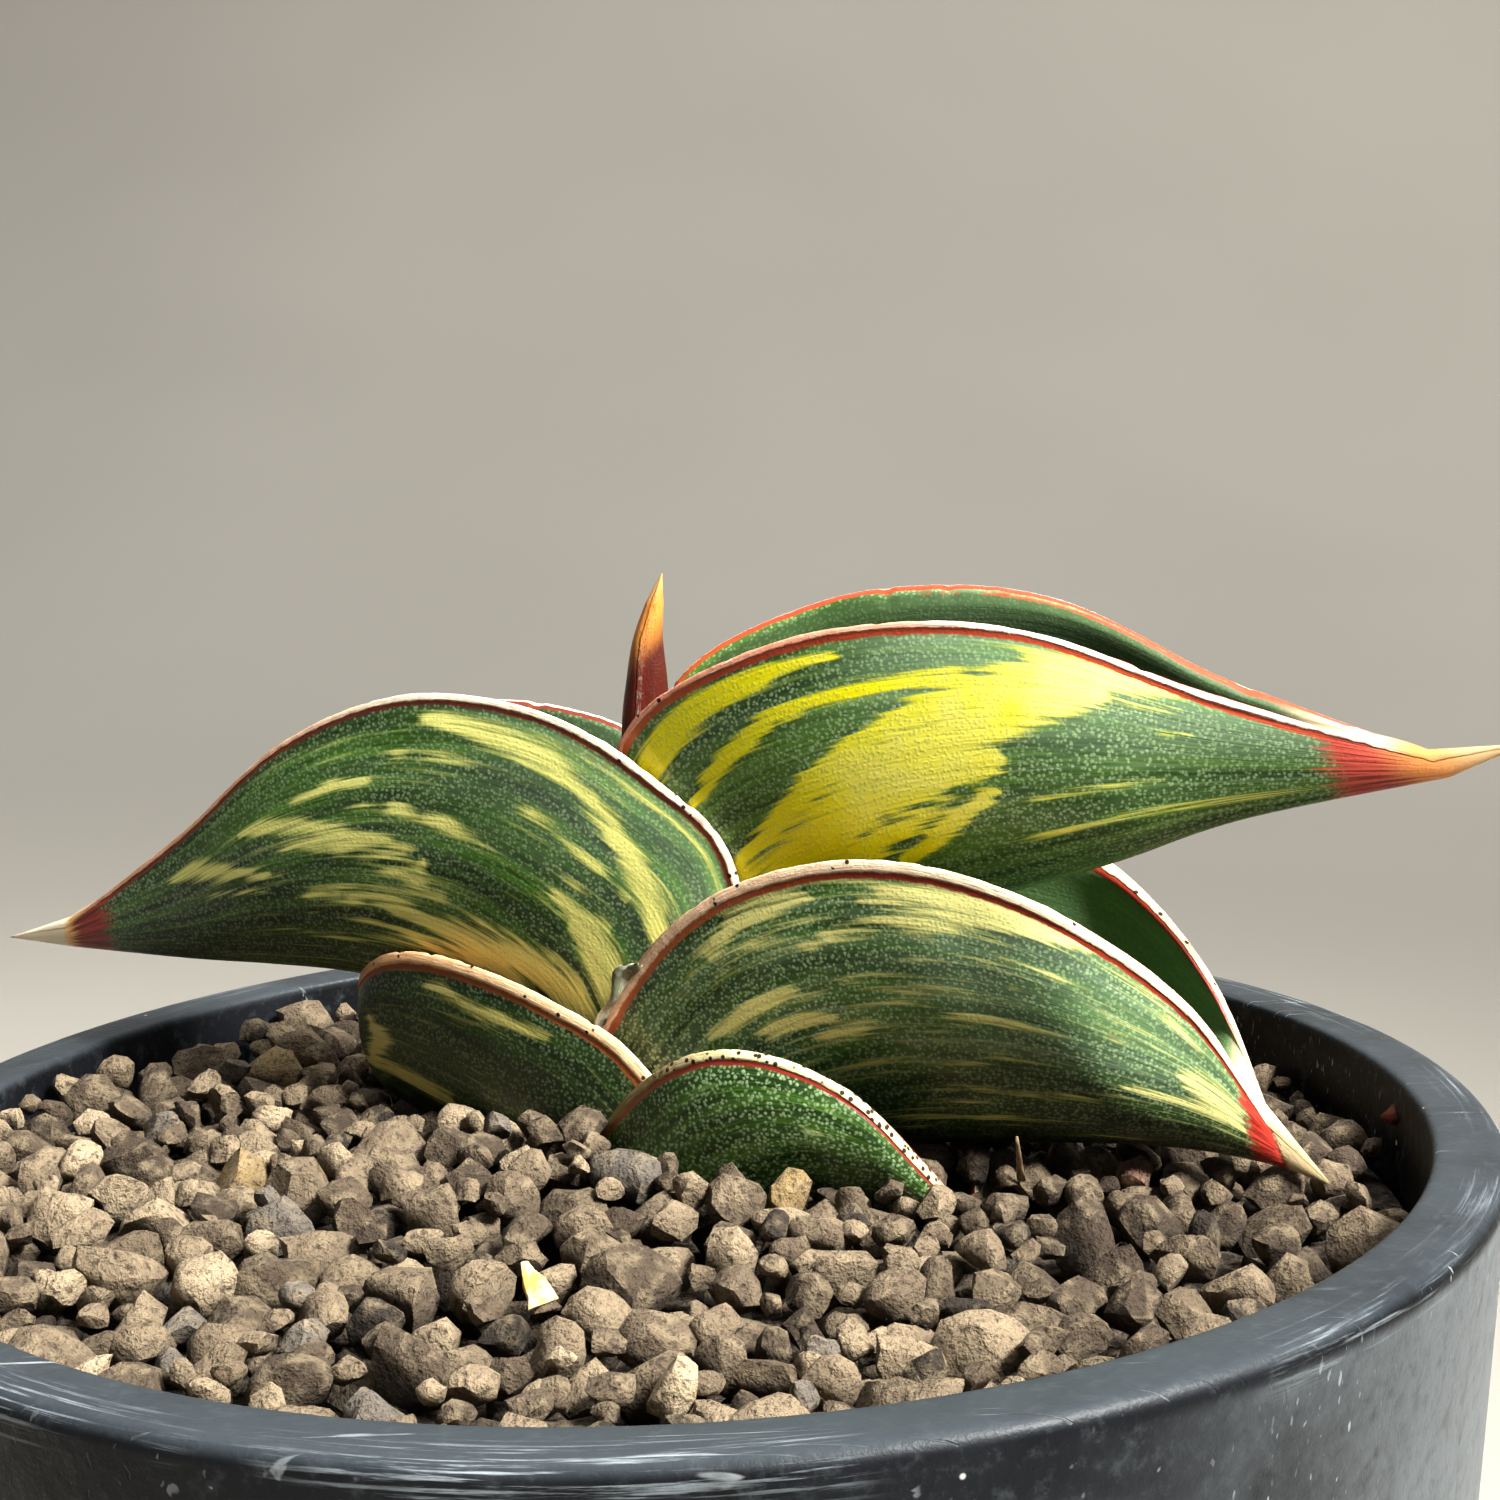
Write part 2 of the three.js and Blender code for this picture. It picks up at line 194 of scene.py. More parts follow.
# %% [markdown]
# ## Leaf shapes
# A leaf of this plant is a boat: its two horny margins are the gunwales, its keel hangs below, and
# the bow ends in a spine. It is described in its own upright plane, with points [out from the
# crown, above the rim] along the margin and the keel. The fine skin lies on the CAD solid, or up to
# 1.5 mm inside it where the photo shows a slimmer end. A smooth curve runs through them.

# %% Leaf measures
CROWN = (1.0, 7.0, 90.0)
CLASP_ANGLES = [125, 118, 106, 101, 93]
WALL = 1.3
LEAF_ROWS = 20
SPEAR_ROWS = 9
SPINE_ROWS = 3
LEAVES = {
    "leaf_small_right": {
        "azimuth": -38,
        "lean": (-0.1, -0.6),
        "margin": [(-7.4, -17), (-4.4, -10), (1.6, -4.3), (6.2, -1.2), (11.2, 0.8),
                   (16.6, 1.1), (21.4, -0.4), (24.6, -3.6), (25.8, -5.7)],
        "keel": [(10, -17), (13.4, -12), (17, -10), (19, -9), (21, -8.4),
                 (22.8, -8), (24.4, -7.6), (25.6, -7.2), (26.4, -6.9)],
        "widths": [10.6, 11.8, 10.8, 7, 1.2],
        "tip": (26.6, -9),
        "depth": 0.74,
    },
    "leaf_small_left": {
        "azimuth": 148,
        "lean": (0, 0),
        "margin": [(-7.6, -17), (-6.5, -3), (-2, 4.3), (5, 7.9), (13, 10),
                   (20, 10.2), (25, 7.8), (27.6, 3.4), (28.6, -0.8)],
        "keel": [(8.8, -17), (13, -11), (17, -8), (20, -7.2), (22.4, -6.4),
                 (24.8, -5.4), (26.8, -4.4), (28.2, -3.6), (29, -3.2)],
        "widths": [9, 10.6, 10.4, 8.6, 1.3],
        "tip": (29.4, -5),
        "depth": 0.72,
    },
    "leaf_lower_right": {
        "azimuth": -20,
        "lean": (0, 0),
        "margin": [(-6, -17), (-6.2, -1), (-2, 8.3), (5, 15.6), (14, 19.2),
                   (23, 19.4), (32, 16.3), (40, 9.3), (44.8, 0.4)],
        "keel": [(7.2, -17), (10.5, -9), (15, -5.2), (19, -3.6), (24, -3),
                 (29.5, -2.6), (35.5, -2.3), (41, -2.6), (46.2, -3.5)],
        "widths": [7.2, 7.7, 8.4, 9.3, 10, 10.3, 9.6, 5.1, 0.9],
        "tip": (49.4, -4.6),
        "depth": 0.68,
    },
    "leaf_upper_left": {
        "azimuth": 163,
        "lean": (0.16, 0.16),
        "margin": [(-4.6, -17), (-7, 2), (-6.6, 17), (-1, 23.4), (8, 28.5),
                   (19, 29.8), (30, 26.2), (41, 18.6), (53.6, 10.9)],
        "keel": [(5.4, -17), (9, -6), (13.5, 0.5), (17, 4), (21.5, 6.2),
                 (28, 7.5), (35, 7.9), (43, 8.1), (54, 8.7)],
        "widths": [5.2, 6.8, 6.4, 5.4, 1.1],
        "tip": (60.2, 9.3),
        "depth": 0.66,
    },
    "leaf_upper_right": {
        "azimuth": -19,
        "lean": (0.6, 0.07),
        "margin": [(-3.2, -17), (-4.4, 3), (-4.6, 20.5), (-0.6, 30), (9, 35.1),
                   (19, 36.9), (29.5, 35.9), (41.6, 30.8), (55.8, 26.3)],
        "keel": [(3.4, -17), (5, -2), (9.5, 8), (15.5, 12), (21, 14.2),
                 (27.5, 16.2), (34.5, 18.4), (43.2, 21.6), (57.0, 24.8)],
        "widths": [3.2, 3.3, 4, 5.7, 7.2, 7.4, 6.4, 3.3, 0.8],
        "tip": (62, 27.2),
        "depth": 0.64,
    },
    "leaf_spear": {
        "azimuth": 172,
        "lean": (0, 0),
        "margin": [(0.6, -17), (1.2, -2), (1.8, 12), (1.9, 22),
                   (1.8, 28), (1.6, 31.5), (1.4, 34.5), (0.8, 37.2)],
        "keel": [(2.1, -17), (3.2, -2), (3.9, 12), (3.9, 22),
                 (3.65, 28), (3.15, 31.5), (2.55, 34.5), (1.5, 37.2)],
        "widths": [1.5, 2.1, 2.1, 1.7, 0.7],
        "tip": (0.1, 39.6),
        "depth": -1,
    },
}
print(len(LEAVES), "leaves measured")

# %% [markdown]
# The markings are named by place too. A streak is a chain of (share of the length, share of the
# way from keel to margin, half width in mm). Each chain was picked on the photo and turned
# into such shares through the camera above. Streaks run lengthwise, because a variegated leaf
# carries a pale cell line from its base up. The same list serves both flanks of a leaf.

# %% Leaf markings
STREAKS = {
    "leaf_upper_left": [
        [(0.62, 0.96, 0), (0.58, 0.94, 0.5), (0.52, 0.92, 0.75), (0.47, 0.91, 0.7),
         (0.43, 0.89, 0.62), (0.38, 0.87, 0.66), (0.33, 0.83, 0.85), (0.28, 0.8, 0.95),
         (0.2, 0.79, 0.8)],
        [(0.89, 0.77, 0), (0.85, 0.75, 0.65), (0.83, 0.71, 0.72), (0.79, 0.64, 0.48),
         (0.75, 0.59, 0.24), (0.72, 0.57, 0)],
        [(0.8, 0.79, 0), (0.76, 0.75, 0.47), (0.71, 0.72, 0.55), (0.66, 0.68, 0.47),
         (0.6, 0.65, 0.31), (0.56, 0.63, 0.23), (0.53, 0.6, 0)],
        [(0.76, 0.67, 0), (0.71, 0.66, 0.31), (0.66, 0.65, 0.47), (0.6, 0.62, 0.39),
         (0.56, 0.6, 0.31), (0.51, 0.58, 0)],
        [(0.72, 0.8, 0), (0.68, 0.81, 0.31), (0.65, 0.8, 0.31), (0.61, 0.78, 0)],
        [(0.64, 0.76, 0), (0.6, 0.74, 0.23), (0.55, 0.72, 0.23), (0.49, 0.71, 0)],
        [(0.59, 0.46, 0), (0.54, 0.45, 0.31), (0.5, 0.45, 0.54), (0.45, 0.46, 0.93),
         (0.39, 0.47, 1.23), (0.33, 0.49, 1.3), (0.27, 0.52, 1.06), (0.18, 0.56, 0.76)],
        [(0.51, 0.51, 0), (0.44, 0.51, 0.2), (0.37, 0.51, 0.2), (0.29, 0.52, 0.15)],
        [(0.74, 0.51, 0), (0.7, 0.5, 0.16), (0.64, 0.48, 0.24), (0.58, 0.46, 0)],
        [(0.41, 0.7, 0), (0.38, 0.68, 0.3), (0.32, 0.66, 0.53), (0.26, 0.66, 0.6),
         (0.18, 0.66, 0.53)],
        [(0.35, 0.65, 0), (0.31, 0.63, 0.45), (0.27, 0.62, 0.6), (0.18, 0.62, 0.45)],
    ],
    "leaf_upper_right": [
        [(0.28, 0.92, 0.75), (0.39, 0.92, 0.96), (0.43, 0.93, 0.88), (0.47, 0.94, 0.65),
         (0.51, 0.95, 0.5), (0.55, 0.95, 0.36), (0.59, 0.95, 0)],
        [(0.35, 0.77, 0.22), (0.39, 0.79, 0.37), (0.43, 0.82, 0.44), (0.49, 0.86, 0.43),
         (0.54, 0.87, 0.36), (0.6, 0.87, 0.35), (0.67, 0.87, 0.42), (0.7, 0.85, 0.42)],
        [(0.3, 0.57, 0.4), (0.36, 0.61, 0.44), (0.45, 0.66, 0.72), (0.52, 0.72, 0.79),
         (0.57, 0.76, 0.71), (0.62, 0.8, 0.7), (0.69, 0.84, 0.84), (0.74, 0.89, 0.9),
         (0.8, 0.93, 0.83), (0.84, 0.96, 0.48), (0.86, 0.97, 0)],
        [(0.3, 0.46, 1.9), (0.41, 0.52, 2.1), (0.51, 0.61, 2.0), (0.59, 0.68, 2.0),
         (0.65, 0.73, 1.8), (0.7, 0.78, 1.5), (0.75, 0.83, 1.2), (0.79, 0.86, 0.6)],
        [(0.4, 0.42, 1.1), (0.49, 0.49, 1.1), (0.56, 0.56, 1.1), (0.62, 0.63, 1.2),
         (0.67, 0.66, 0.9), (0.69, 0.69, 0)],
        [(0.53, 0.43, 0.43), (0.6, 0.5, 0.57), (0.65, 0.56, 0.42), (0.68, 0.59, 0)],
        [(0.82, 0.77, 0), (0.84, 0.78, 0.14), (0.86, 0.8, 0)],
    ],
    "leaf_lower_right": [
        [(0.35, 0.89, 0), (0.37, 0.9, 0.36), (0.4, 0.93, 0.65), (0.45, 0.94, 0.64),
         (0.48, 0.94, 0.36), (0.5, 0.94, 0)],
        [(0.44, 0.82, 0), (0.5, 0.86, 0.35), (0.56, 0.87, 0.42), (0.6, 0.87, 0.49),
         (0.65, 0.89, 0.35)],
        [(0.53, 0.91, 0), (0.57, 0.92, 0.56), (0.61, 0.93, 0.9), (0.65, 0.94, 1.24),
         (0.69, 0.94, 1.17), (0.72, 0.94, 0.82), (0.76, 0.95, 0.34), (0.78, 0.95, 0)],
        [(0.29, 0.75, 0), (0.32, 0.74, 0.44), (0.36, 0.75, 0.58), (0.4, 0.75, 0.43),
         (0.43, 0.75, 0)],
        [(0.33, 0.68, 0), (0.37, 0.68, 0.51), (0.41, 0.68, 0.5), (0.44, 0.67, 0.29),
         (0.46, 0.66, 0)],
        [(0.38, 0.61, 0), (0.43, 0.63, 0.36), (0.47, 0.64, 0.36), (0.51, 0.65, 0)],
        [(0.85, 0.69, 0), (0.87, 0.68, 0.56), (0.89, 0.64, 0.77), (0.92, 0.6, 0.63),
         (0.94, 0.54, 0)],
        [(0.73, 0.5, 0), (0.79, 0.55, 0.21), (0.85, 0.55, 0.28), (0.91, 0.55, 0.28)],
        [(0.65, 0.76, 0), (0.68, 0.77, 0.14), (0.71, 0.77, 0)],
    ],
    "leaf_small_left": [
        [(0.57, 0.91, 0), (0.52, 0.91, 0.39), (0.48, 0.89, 0.38), (0.44, 0.88, 0.38),
         (0.41, 0.89, 0.38), (0.39, 0.89, 0.3), (0.34, 0.9, 0.19), (0.31, 0.89, 0)],
        [(0.69, 0.79, 0), (0.67, 0.74, 0.64), (0.64, 0.67, 1.04), (0.68, 0.59, 0.73)],
        [(0.73, 0.57, 0.41), (0.61, 0.54, 0.64), (0.51, 0.54, 0.63), (0.42, 0.54, 0.55),
         (0.37, 0.51, 0)],
    ],
    "leaf_small_right": [
        [(0.56, 0.65, 0), (0.58, 0.64, 0.22), (0.6, 0.63, 0.22), (0.63, 0.63, 0)],
        [(0.53, 0.83, 0), (0.57, 0.83, 0.11), (0.6, 0.84, 0)],
    ],
    "leaf_spear": [],
}
# Fainter fibres, that only half reach the pale yellow.
FIBRES = {
    "leaf_upper_left": [
        [(0.74, 0.78, 0), (0.72, 0.79, 0.23), (0.69, 0.8, 0.31), (0.66, 0.8, 0.31)],
        [(0.68, 0.75, 0), (0.64, 0.74, 0.23), (0.59, 0.72, 0.31), (0.53, 0.7, 0.31),
         (0.48, 0.69, 0.23), (0.43, 0.69, 0)],
        [(0.79, 0.69, 0), (0.72, 0.66, 0.24), (0.67, 0.63, 0.31), (0.6, 0.59, 0.31),
         (0.54, 0.55, 0.23), (0.47, 0.52, 0)],
        [(0.71, 0.52, 0), (0.64, 0.51, 0.31), (0.57, 0.49, 0.39), (0.52, 0.46, 0.39),
         (0.45, 0.45, 0.39), (0.38, 0.46, 0.31)],
        [(0.7, 0.44, 0), (0.62, 0.42, 0.24), (0.55, 0.4, 0.31), (0.48, 0.37, 0.31),
         (0.41, 0.39, 0.23)],
        [(0.87, 0.62, 0), (0.82, 0.59, 0.24), (0.76, 0.54, 0.24), (0.7, 0.5, 0)],
        [(0.44, 0.73, 0), (0.4, 0.73, 0.23), (0.34, 0.71, 0.22), (0.29, 0.7, 0.22)],
        [(0.43, 0.6, 0), (0.37, 0.58, 0.23), (0.31, 0.55, 0.3), (0.24, 0.56, 0.3)],
        [(0.52, 0.82, 0), (0.48, 0.81, 0.23), (0.42, 0.79, 0.22), (0.36, 0.78, 0.22),
         (0.3, 0.76, 0.22)],
        [(0.65, 0.85, 0), (0.6, 0.87, 0.23), (0.55, 0.86, 0.3), (0.5, 0.85, 0.23),
         (0.45, 0.84, 0)],
        [(0.46, 0.92, 0), (0.41, 0.9, 0.22), (0.35, 0.86, 0.3), (0.3, 0.83, 0.3),
         (0.26, 0.82, 0.37)],
    ],
    "leaf_upper_right": [
        [(0.62, 0.39, 0), (0.7, 0.41, 0.28), (0.77, 0.43, 0.28), (0.83, 0.42, 0.28),
         (0.89, 0.41, 0.21), (0.93, 0.42, 0)],
        [(0.66, 0.52, 0), (0.72, 0.54, 0.22), (0.79, 0.56, 0.21), (0.84, 0.58, 0)],
        [(0.38, 0.77, 0.22), (0.41, 0.8, 0.29), (0.44, 0.83, 0.29), (0.49, 0.84, 0.29),
         (0.52, 0.85, 0.21)],
        [(0.78, 0.84, 0.41), (0.82, 0.86, 0.41), (0.84, 0.88, 0.28), (0.86, 0.91, 0)],
    ],
    "leaf_lower_right": [
        [(0.3, 0.87, 0.29), (0.34, 0.9, 0.44), (0.38, 0.93, 0.36), (0.42, 0.94, 0.22),
         (0.45, 0.95, 0)],
        [(0.32, 0.83, 0), (0.36, 0.85, 0.29), (0.4, 0.87, 0.29), (0.45, 0.89, 0.29),
         (0.5, 0.9, 0.21)],
        [(0.52, 0.78, 0), (0.57, 0.79, 0.21), (0.61, 0.8, 0.28), (0.68, 0.82, 0.28),
         (0.73, 0.83, 0.21), (0.79, 0.86, 0)],
        [(0.43, 0.75, 0), (0.49, 0.75, 0.21), (0.55, 0.74, 0.21), (0.62, 0.74, 0.21),
         (0.69, 0.75, 0)],
        [(0.51, 0.65, 0), (0.58, 0.66, 0.21), (0.66, 0.67, 0.28), (0.72, 0.68, 0.28),
         (0.79, 0.71, 0.21), (0.85, 0.76, 0)],
        [(0.51, 0.57, 0), (0.59, 0.56, 0.28), (0.65, 0.57, 0.28), (0.71, 0.58, 0.21),
         (0.78, 0.59, 0)],
        [(0.74, 0.91, 0), (0.79, 0.92, 0.27), (0.83, 0.92, 0.34), (0.85, 0.9, 0.35),
         (0.88, 0.84, 0.28), (0.9, 0.77, 0)],
        [(0.51, 0.45, 0), (0.61, 0.44, 0.21), (0.7, 0.46, 0.21), (0.77, 0.49, 0.21),
         (0.85, 0.51, 0)],
    ],
}
FIBRE_LEVEL = {"leaf_upper_left": 0.66, "leaf_upper_right": 0.42, "leaf_lower_right": 0.46}
# Green wedges that cut back into a pale patch.
CUTS = {
    "leaf_upper_right": [
        [(0.48, 0.52, 0.29), (0.53, 0.55, 0.43), (0.59, 0.58, 0.5), (0.64, 0.6, 0.49),
         (0.68, 0.61, 0.56)],
    ],
}
print(sum(len(chains) for chains in STREAKS.values()), "streaks placed")

# %% [markdown]
# ## Leaf geometry
# One way to make a leaf is to push a cube into shape by hand, but then six leaves never nest.
# Here a flat grid is wrapped round the boat's section instead: one side of the grid goes round
# the leaf, the other runs from base to tip. First come the curves that give each section.


# %% Curves
def ease(value, low, high):
    share = min(max((value - low) / (high - low), 0.0), 1.0)
    return share * share * (3 - 2 * share)


def blend(a, b, share):
    return a + (b - a) * share


def smooth_value(values, share):
    """A uniform Catmull-Rom curve through the values, read at a share of its length."""
    points = np.asarray(values, float)
    last = len(points) - 1
    place = last * share
    i = min(int(place), last)
    w = place - i
    p0, p1 = points[max(i - 1, 0)], points[i]
    p2, p3 = points[min(i + 1, last)], points[min(i + 2, last)]
    v0, v1 = (p2 - p0) / 2, (p3 - p1) / 2
    return (2 * p1 - 2 * p2 + v0 + v1) * w**3 + (3 * p2 - 3 * p1 - 2 * v0 - v1) * w**2 + v0 * w + p1


def leaf_station(leaf, share):
    """The section's ellipse at a share of the blade: centre, downward reach, half width, channel."""
    margin = smooth_value(leaf["margin"], share)
    keel = smooth_value(leaf["keel"], share)
    is_spear = leaf["depth"] < 0
    clasp = math.radians(90 if is_spear else smooth_value(CLASP_ANGLES, share))
    drop = keel - margin
    length = float(np.linalg.norm(drop))
    reach = length / (1 - math.cos(clasp))
    opened = ease(share, 0, 0.1) * (1 - ease(share, 0.82, 0.97))
    closed = -0.3 * ease(share, 0.93, 1)
    return {
        "clasp": clasp,
        "reach": reach,
        "down": drop / length,
        "centre": keel - drop / length * reach,
        "half_width": float(smooth_value(leaf["widths"], share)),
        "channel": -1.0 if is_spear else blend(closed, leaf["depth"], opened),
    }


def on_plant(leaf, out, side, up, along):
    """From the leaf's own plane to the part's frame, in mm. along is 0 at the base, 2 at the tip.
    The lean fades by the row, and the rows are those of the CAD solid."""
    rows = LEAF_ROWS if leaf["depth"] >= 0 else SPEAR_ROWS
    row = 1 + rows * min(along, 1) + SPINE_ROWS * max(along - 1, 0)
    row_share = row / (rows + SPINE_ROWS + 1)
    low, high = leaf["lean"]
    up = up + side * blend(high, low, (1 - row_share) ** 3)
    turn = math.radians(leaf["azimuth"])
    x = CROWN[0] + out * math.cos(turn) - side * math.sin(turn)
    y = CROWN[1] + out * math.sin(turn) + side * math.cos(turn)
    return np.stack(np.broadcast_arrays(x, y, CROWN[2] + up), axis=-1)


def outer_point(leaf, along, across):
    """A point of the outer skin, for the streak chains."""
    st = leaf_station(leaf, along)
    angle = across * st["clasp"]
    centre, down = st["centre"], st["down"]
    fall = st["reach"] * math.cos(angle)
    side = st["half_width"] * math.sin(angle)
    return on_plant(leaf, centre[0] + fall * down[0], side, centre[1] + fall * down[1], along)


print("curves ready")

# %% [markdown]
# The section runs round the outside from one margin to the other, over a swollen horny bead, and
# back through the channel. Every point also notes where it is: along the leaf, across it, how far
# from the bead's lower edge, and whether it is inside. The materials read these notes.

# %% Leaf section
OUTER_STEPS = 96
BAND_STEPS = 5
TOP_STEPS = 8
INNER_STEPS = 26
AROUND = OUTER_STEPS + 2 * BAND_STEPS + 2 * TOP_STEPS + INNER_STEPS
BLADE_STEPS = 190
SPINE_STEPS = 26
BAND_RELIEF = 0.16
BAND_SWELL = [0.8, 1, 1.05, 1, 0.85]
TOP_BULGE = 0.28
ARC_SAMPLES = 160


def skin_curve(st, shares):
    """Points on the section's ellipse, with the directions out of it and along it."""
    angles = np.atleast_1d(shares) * st["clasp"]
    c, s = np.cos(angles), np.sin(angles)
    points = np.stack([st["reach"] * c, st["half_width"] * s], 1)
    outward = np.stack([c / st["reach"], s / st["half_width"]], 1)
    onward = np.stack([-st["reach"] * s, st["half_width"] * c], 1)
    outward /= np.linalg.norm(outward, axis=1)[:, None]
    onward /= np.linalg.norm(onward, axis=1)[:, None]
    return points, outward, onward


def waver(along, seed):
    """How much the horny edge swells, and where it is chipped."""
    place = along * 70
    swell = noise.noise((place * 0.22, seed, 0)) * 0.35 + noise.noise((place * 0.9, seed, 5)) * 0.2
    return 1 + swell, ease(noise.noise((place * 0.7, seed, 9)), 0.3, 0.5)


def horny_edge(st, band_share, width, top_share, sign, along, seed):
    """From the band's lower edge over the top to the channel, on one side of the section."""
    solid = ease(st["channel"], -0.2, 0.3)
    swell, chip = waver(along, seed + 3 * sign)
    climb = np.arange(1, BAND_STEPS + 1) / BAND_STEPS
    shares = sign * blend(band_share, 1, climb)
    points, outward, onward = skin_curve(st, shares)
    relief = BAND_RELIEF * swell * solid * min(width, 1)
    points = points + outward * relief * np.array(BAND_SWELL)[:, None]
    band = np.column_stack([points, shares, width * climb, 0 * climb])
    start = points[-1]
    inner = inner_wall(st, np.array([float(sign)]))[0]
    gap = float(np.linalg.norm(inner - start))
    pull = onward[-1] * sign * TOP_BULGE * gap * solid * (swell - 0.5 * chip)
    towards = (start - inner) / max(gap, 1e-6)
    handle = inner + towards * gap * 0.25 + pull * 0.9
    t = (np.arange(1, TOP_STEPS + 1) / TOP_STEPS)[:, None]
    over = ((1 - t) ** 3 * start + 3 * (1 - t) ** 2 * t * (start + pull)
            + 3 * (1 - t) * t * t * handle + t**3 * inner)
    edge = np.minimum(width, gap * (top_share - t) * 1.2)
    top = np.column_stack([over, np.full(TOP_STEPS, sign), edge, t > 0.5])
    return np.vstack([band, top])


def inner_wall(st, shares):
    """Points of the channel's wall. Near the spine the channel closes with a lid."""
    angles = shares * st["clasp"]
    fall = st["channel"] * st["reach"] * np.cos(angles)
    if st["channel"] < 0:
        fall = fall + (1 + st["channel"]) * st["reach"] * math.cos(st["clasp"]) * np.abs(shares)
    wall = WALL * ease(st["channel"], -0.2, 0.3)
    return np.stack([fall, (st["half_width"] - wall) * np.sin(angles)], 1)


def leaf_section(leaf, along, band, seed):
    """Rows of [fall, side, across, edge, inside] all the way round the section, in order."""
    st = leaf_station(leaf, min(along, 1))
    turns = np.linspace(0, 1, ARC_SAMPLES)
    arc, _, _ = skin_curve(st, 1 - turns)
    below = np.concatenate([[0], np.cumsum(np.linalg.norm(np.diff(arc, axis=0), axis=1))])
    width = min(band[0], 0.24 * below[-1])
    band_share = 1 - float(np.interp(width, below, turns))
    shares = np.linspace(-band_share, band_share, OUTER_STEPS + 1)
    points, _, _ = skin_curve(st, shares)
    depth = width - np.interp(1 - np.abs(shares), turns, below)
    outer = np.column_stack([points, shares, depth, 0 * shares])
    right, left = [horny_edge(st, band_share, width, band[1], sign, along, seed) for sign in (1, -1)]
    shares = 1 - 2 * np.arange(1, INNER_STEPS) / INNER_STEPS
    depth = right[-1][3] - (1 - np.abs(shares)) * below[-1]
    inner = np.column_stack([inner_wall(st, shares), shares, depth, 0 * shares + 1])
    return st, np.vstack([outer, right, inner, left[::-1]])


print("a section has", len(leaf_section(LEAVES["leaf_lower_right"], 0.5, (1, 0.6), 1)[1]), "points")

# %% [markdown]
# The chains become a field on the skin: 1 on a streak's centre line, 0.5 at its edge, falling to 0
# outside, and fading where a streak gets very thin. A material can later threshold it with fine
# noise and so get the fibrous jagged edges.


# %% Marking field
THINNEST = 0.04
FADING_BELOW = 0.2


def chain_field(leaf, chains, places, flank):
    """1 on the chains' lines, 0.5 at their half width, for places on the flank (1 or -1), in mm."""
    field = np.zeros(len(places))
    for chain in chains:
        points = [(outer_point(leaf, a, s * flank), max(w, THINNEST)) for a, s, w in chain]
        for (p, w0), (q, w1) in zip(points, points[1:]):
            line = q - p
            share = np.clip((places - p) @ line / (line @ line), 0, 1)
            away = np.linalg.norm(places - (p + share[:, None] * line), axis=1)
            width = w0 + (w1 - w0) * share
            fade = np.clip(width / FADING_BELOW, 0, 1)
            field = np.maximum(field, (1 - 0.5 * away / width) * fade)
    return field


NOTES = ["along", "across", "edge", "inside", "pale"]


def leaf_rows(leaf, band, seed):
    """Places in mm and notes for every row and column of the wrapped grid."""
    places, notes = [], []
    for row in range(BLADE_STEPS + SPINE_STEPS + 2):
        along = min(max(row - 1, 0) / BLADE_STEPS, 1) + max(row - 1 - BLADE_STEPS, 0) / SPINE_STEPS
        st, table = leaf_section(leaf, along, band, seed)
        keep = (2 - along) ** 0.85 if along > 1 else min(row, 1)
        target = leaf["tip"] if along > 1 else st["centre"]
        out = blend(target[0], st["centre"][0] + table[:, 0] * st["down"][0], keep)
        up = blend(target[1], st["centre"][1] + table[:, 0] * st["down"][1], keep)
        places.append(on_plant(leaf, out, table[:, 1] * keep, up, along))
        notes.append(np.column_stack([np.full(len(table), along), table[:, 2:]]))
    return np.array(places), np.array(notes)


def pale_field(name, places, notes):
    """The streaks and the green wedges of both flanks, as one value from 0 to 1."""
    leaf = LEAVES[name]
    pale = np.zeros(places.shape[:2])
    for flank in (1, -1):
        near = (notes[..., 1] * flank > -0.12) & (notes[..., 3] < 0.5)
        streaks = chain_field(leaf, STREAKS[name], places[near], flank)
        fibres = chain_field(leaf, FIBRES.get(name, []), places[near], flank)
        streaks = np.maximum(streaks, FIBRE_LEVEL.get(name, 0) * fibres)
        cuts = chain_field(leaf, CUTS.get(name, []), places[near], flank)
        pale[near] = np.maximum(pale[near], np.minimum(streaks, 1.15 - cuts))
    return pale


def leaf_piece(name, material, seed):
    """The whole leaf as one closed skin: a grid wrapped round, then merged along its seam."""
    places, notes = leaf_rows(LEAVES[name], LEAF_TINTS[name]["band_size"], seed)
    notes = np.dstack([notes, pale_field(name, places, notes)])
    rows = len(places) - 1
    bm = bmesh.new()
    bmesh.ops.create_grid(bm, x_segments=AROUND, y_segments=rows, size=0.5)
    layers = [bm.verts.layers.float.new(note) for note in NOTES]
    low = min(v.co.x for v in bm.verts)
    span = max(v.co.x for v in bm.verts) - low
    for vert in bm.verts:
        column = round((vert.co.x - low) / span * AROUND) % AROUND
        row = round((vert.co.y - low) / span * rows)
        vert.co = places[row, column] * MM
        for layer, value in zip(layers, notes[row, column].tolist()):
            vert[layer] = value
    bmesh.ops.remove_doubles(bm, verts=bm.verts, dist=1e-7)
    bmesh.ops.recalc_face_normals(bm, faces=bm.faces)
    return finished_piece(name + "_skin", bm, material, (name,))


print("grid of", AROUND, "by", BLADE_STEPS + SPINE_STEPS)

# %% [markdown]
# ## Leaf finish
# The skin is deep green with fine lengthwise fibres and a stipple of pale waxy dots. Pale yellow
# streaks lie where the field says. The horny edge is a cream to tan band with a thin dark red line
# under it, and the end of the leaf turns red, then orange, then cream at the spine's point.
# One function makes all six finishes, because they differ only in their tints.

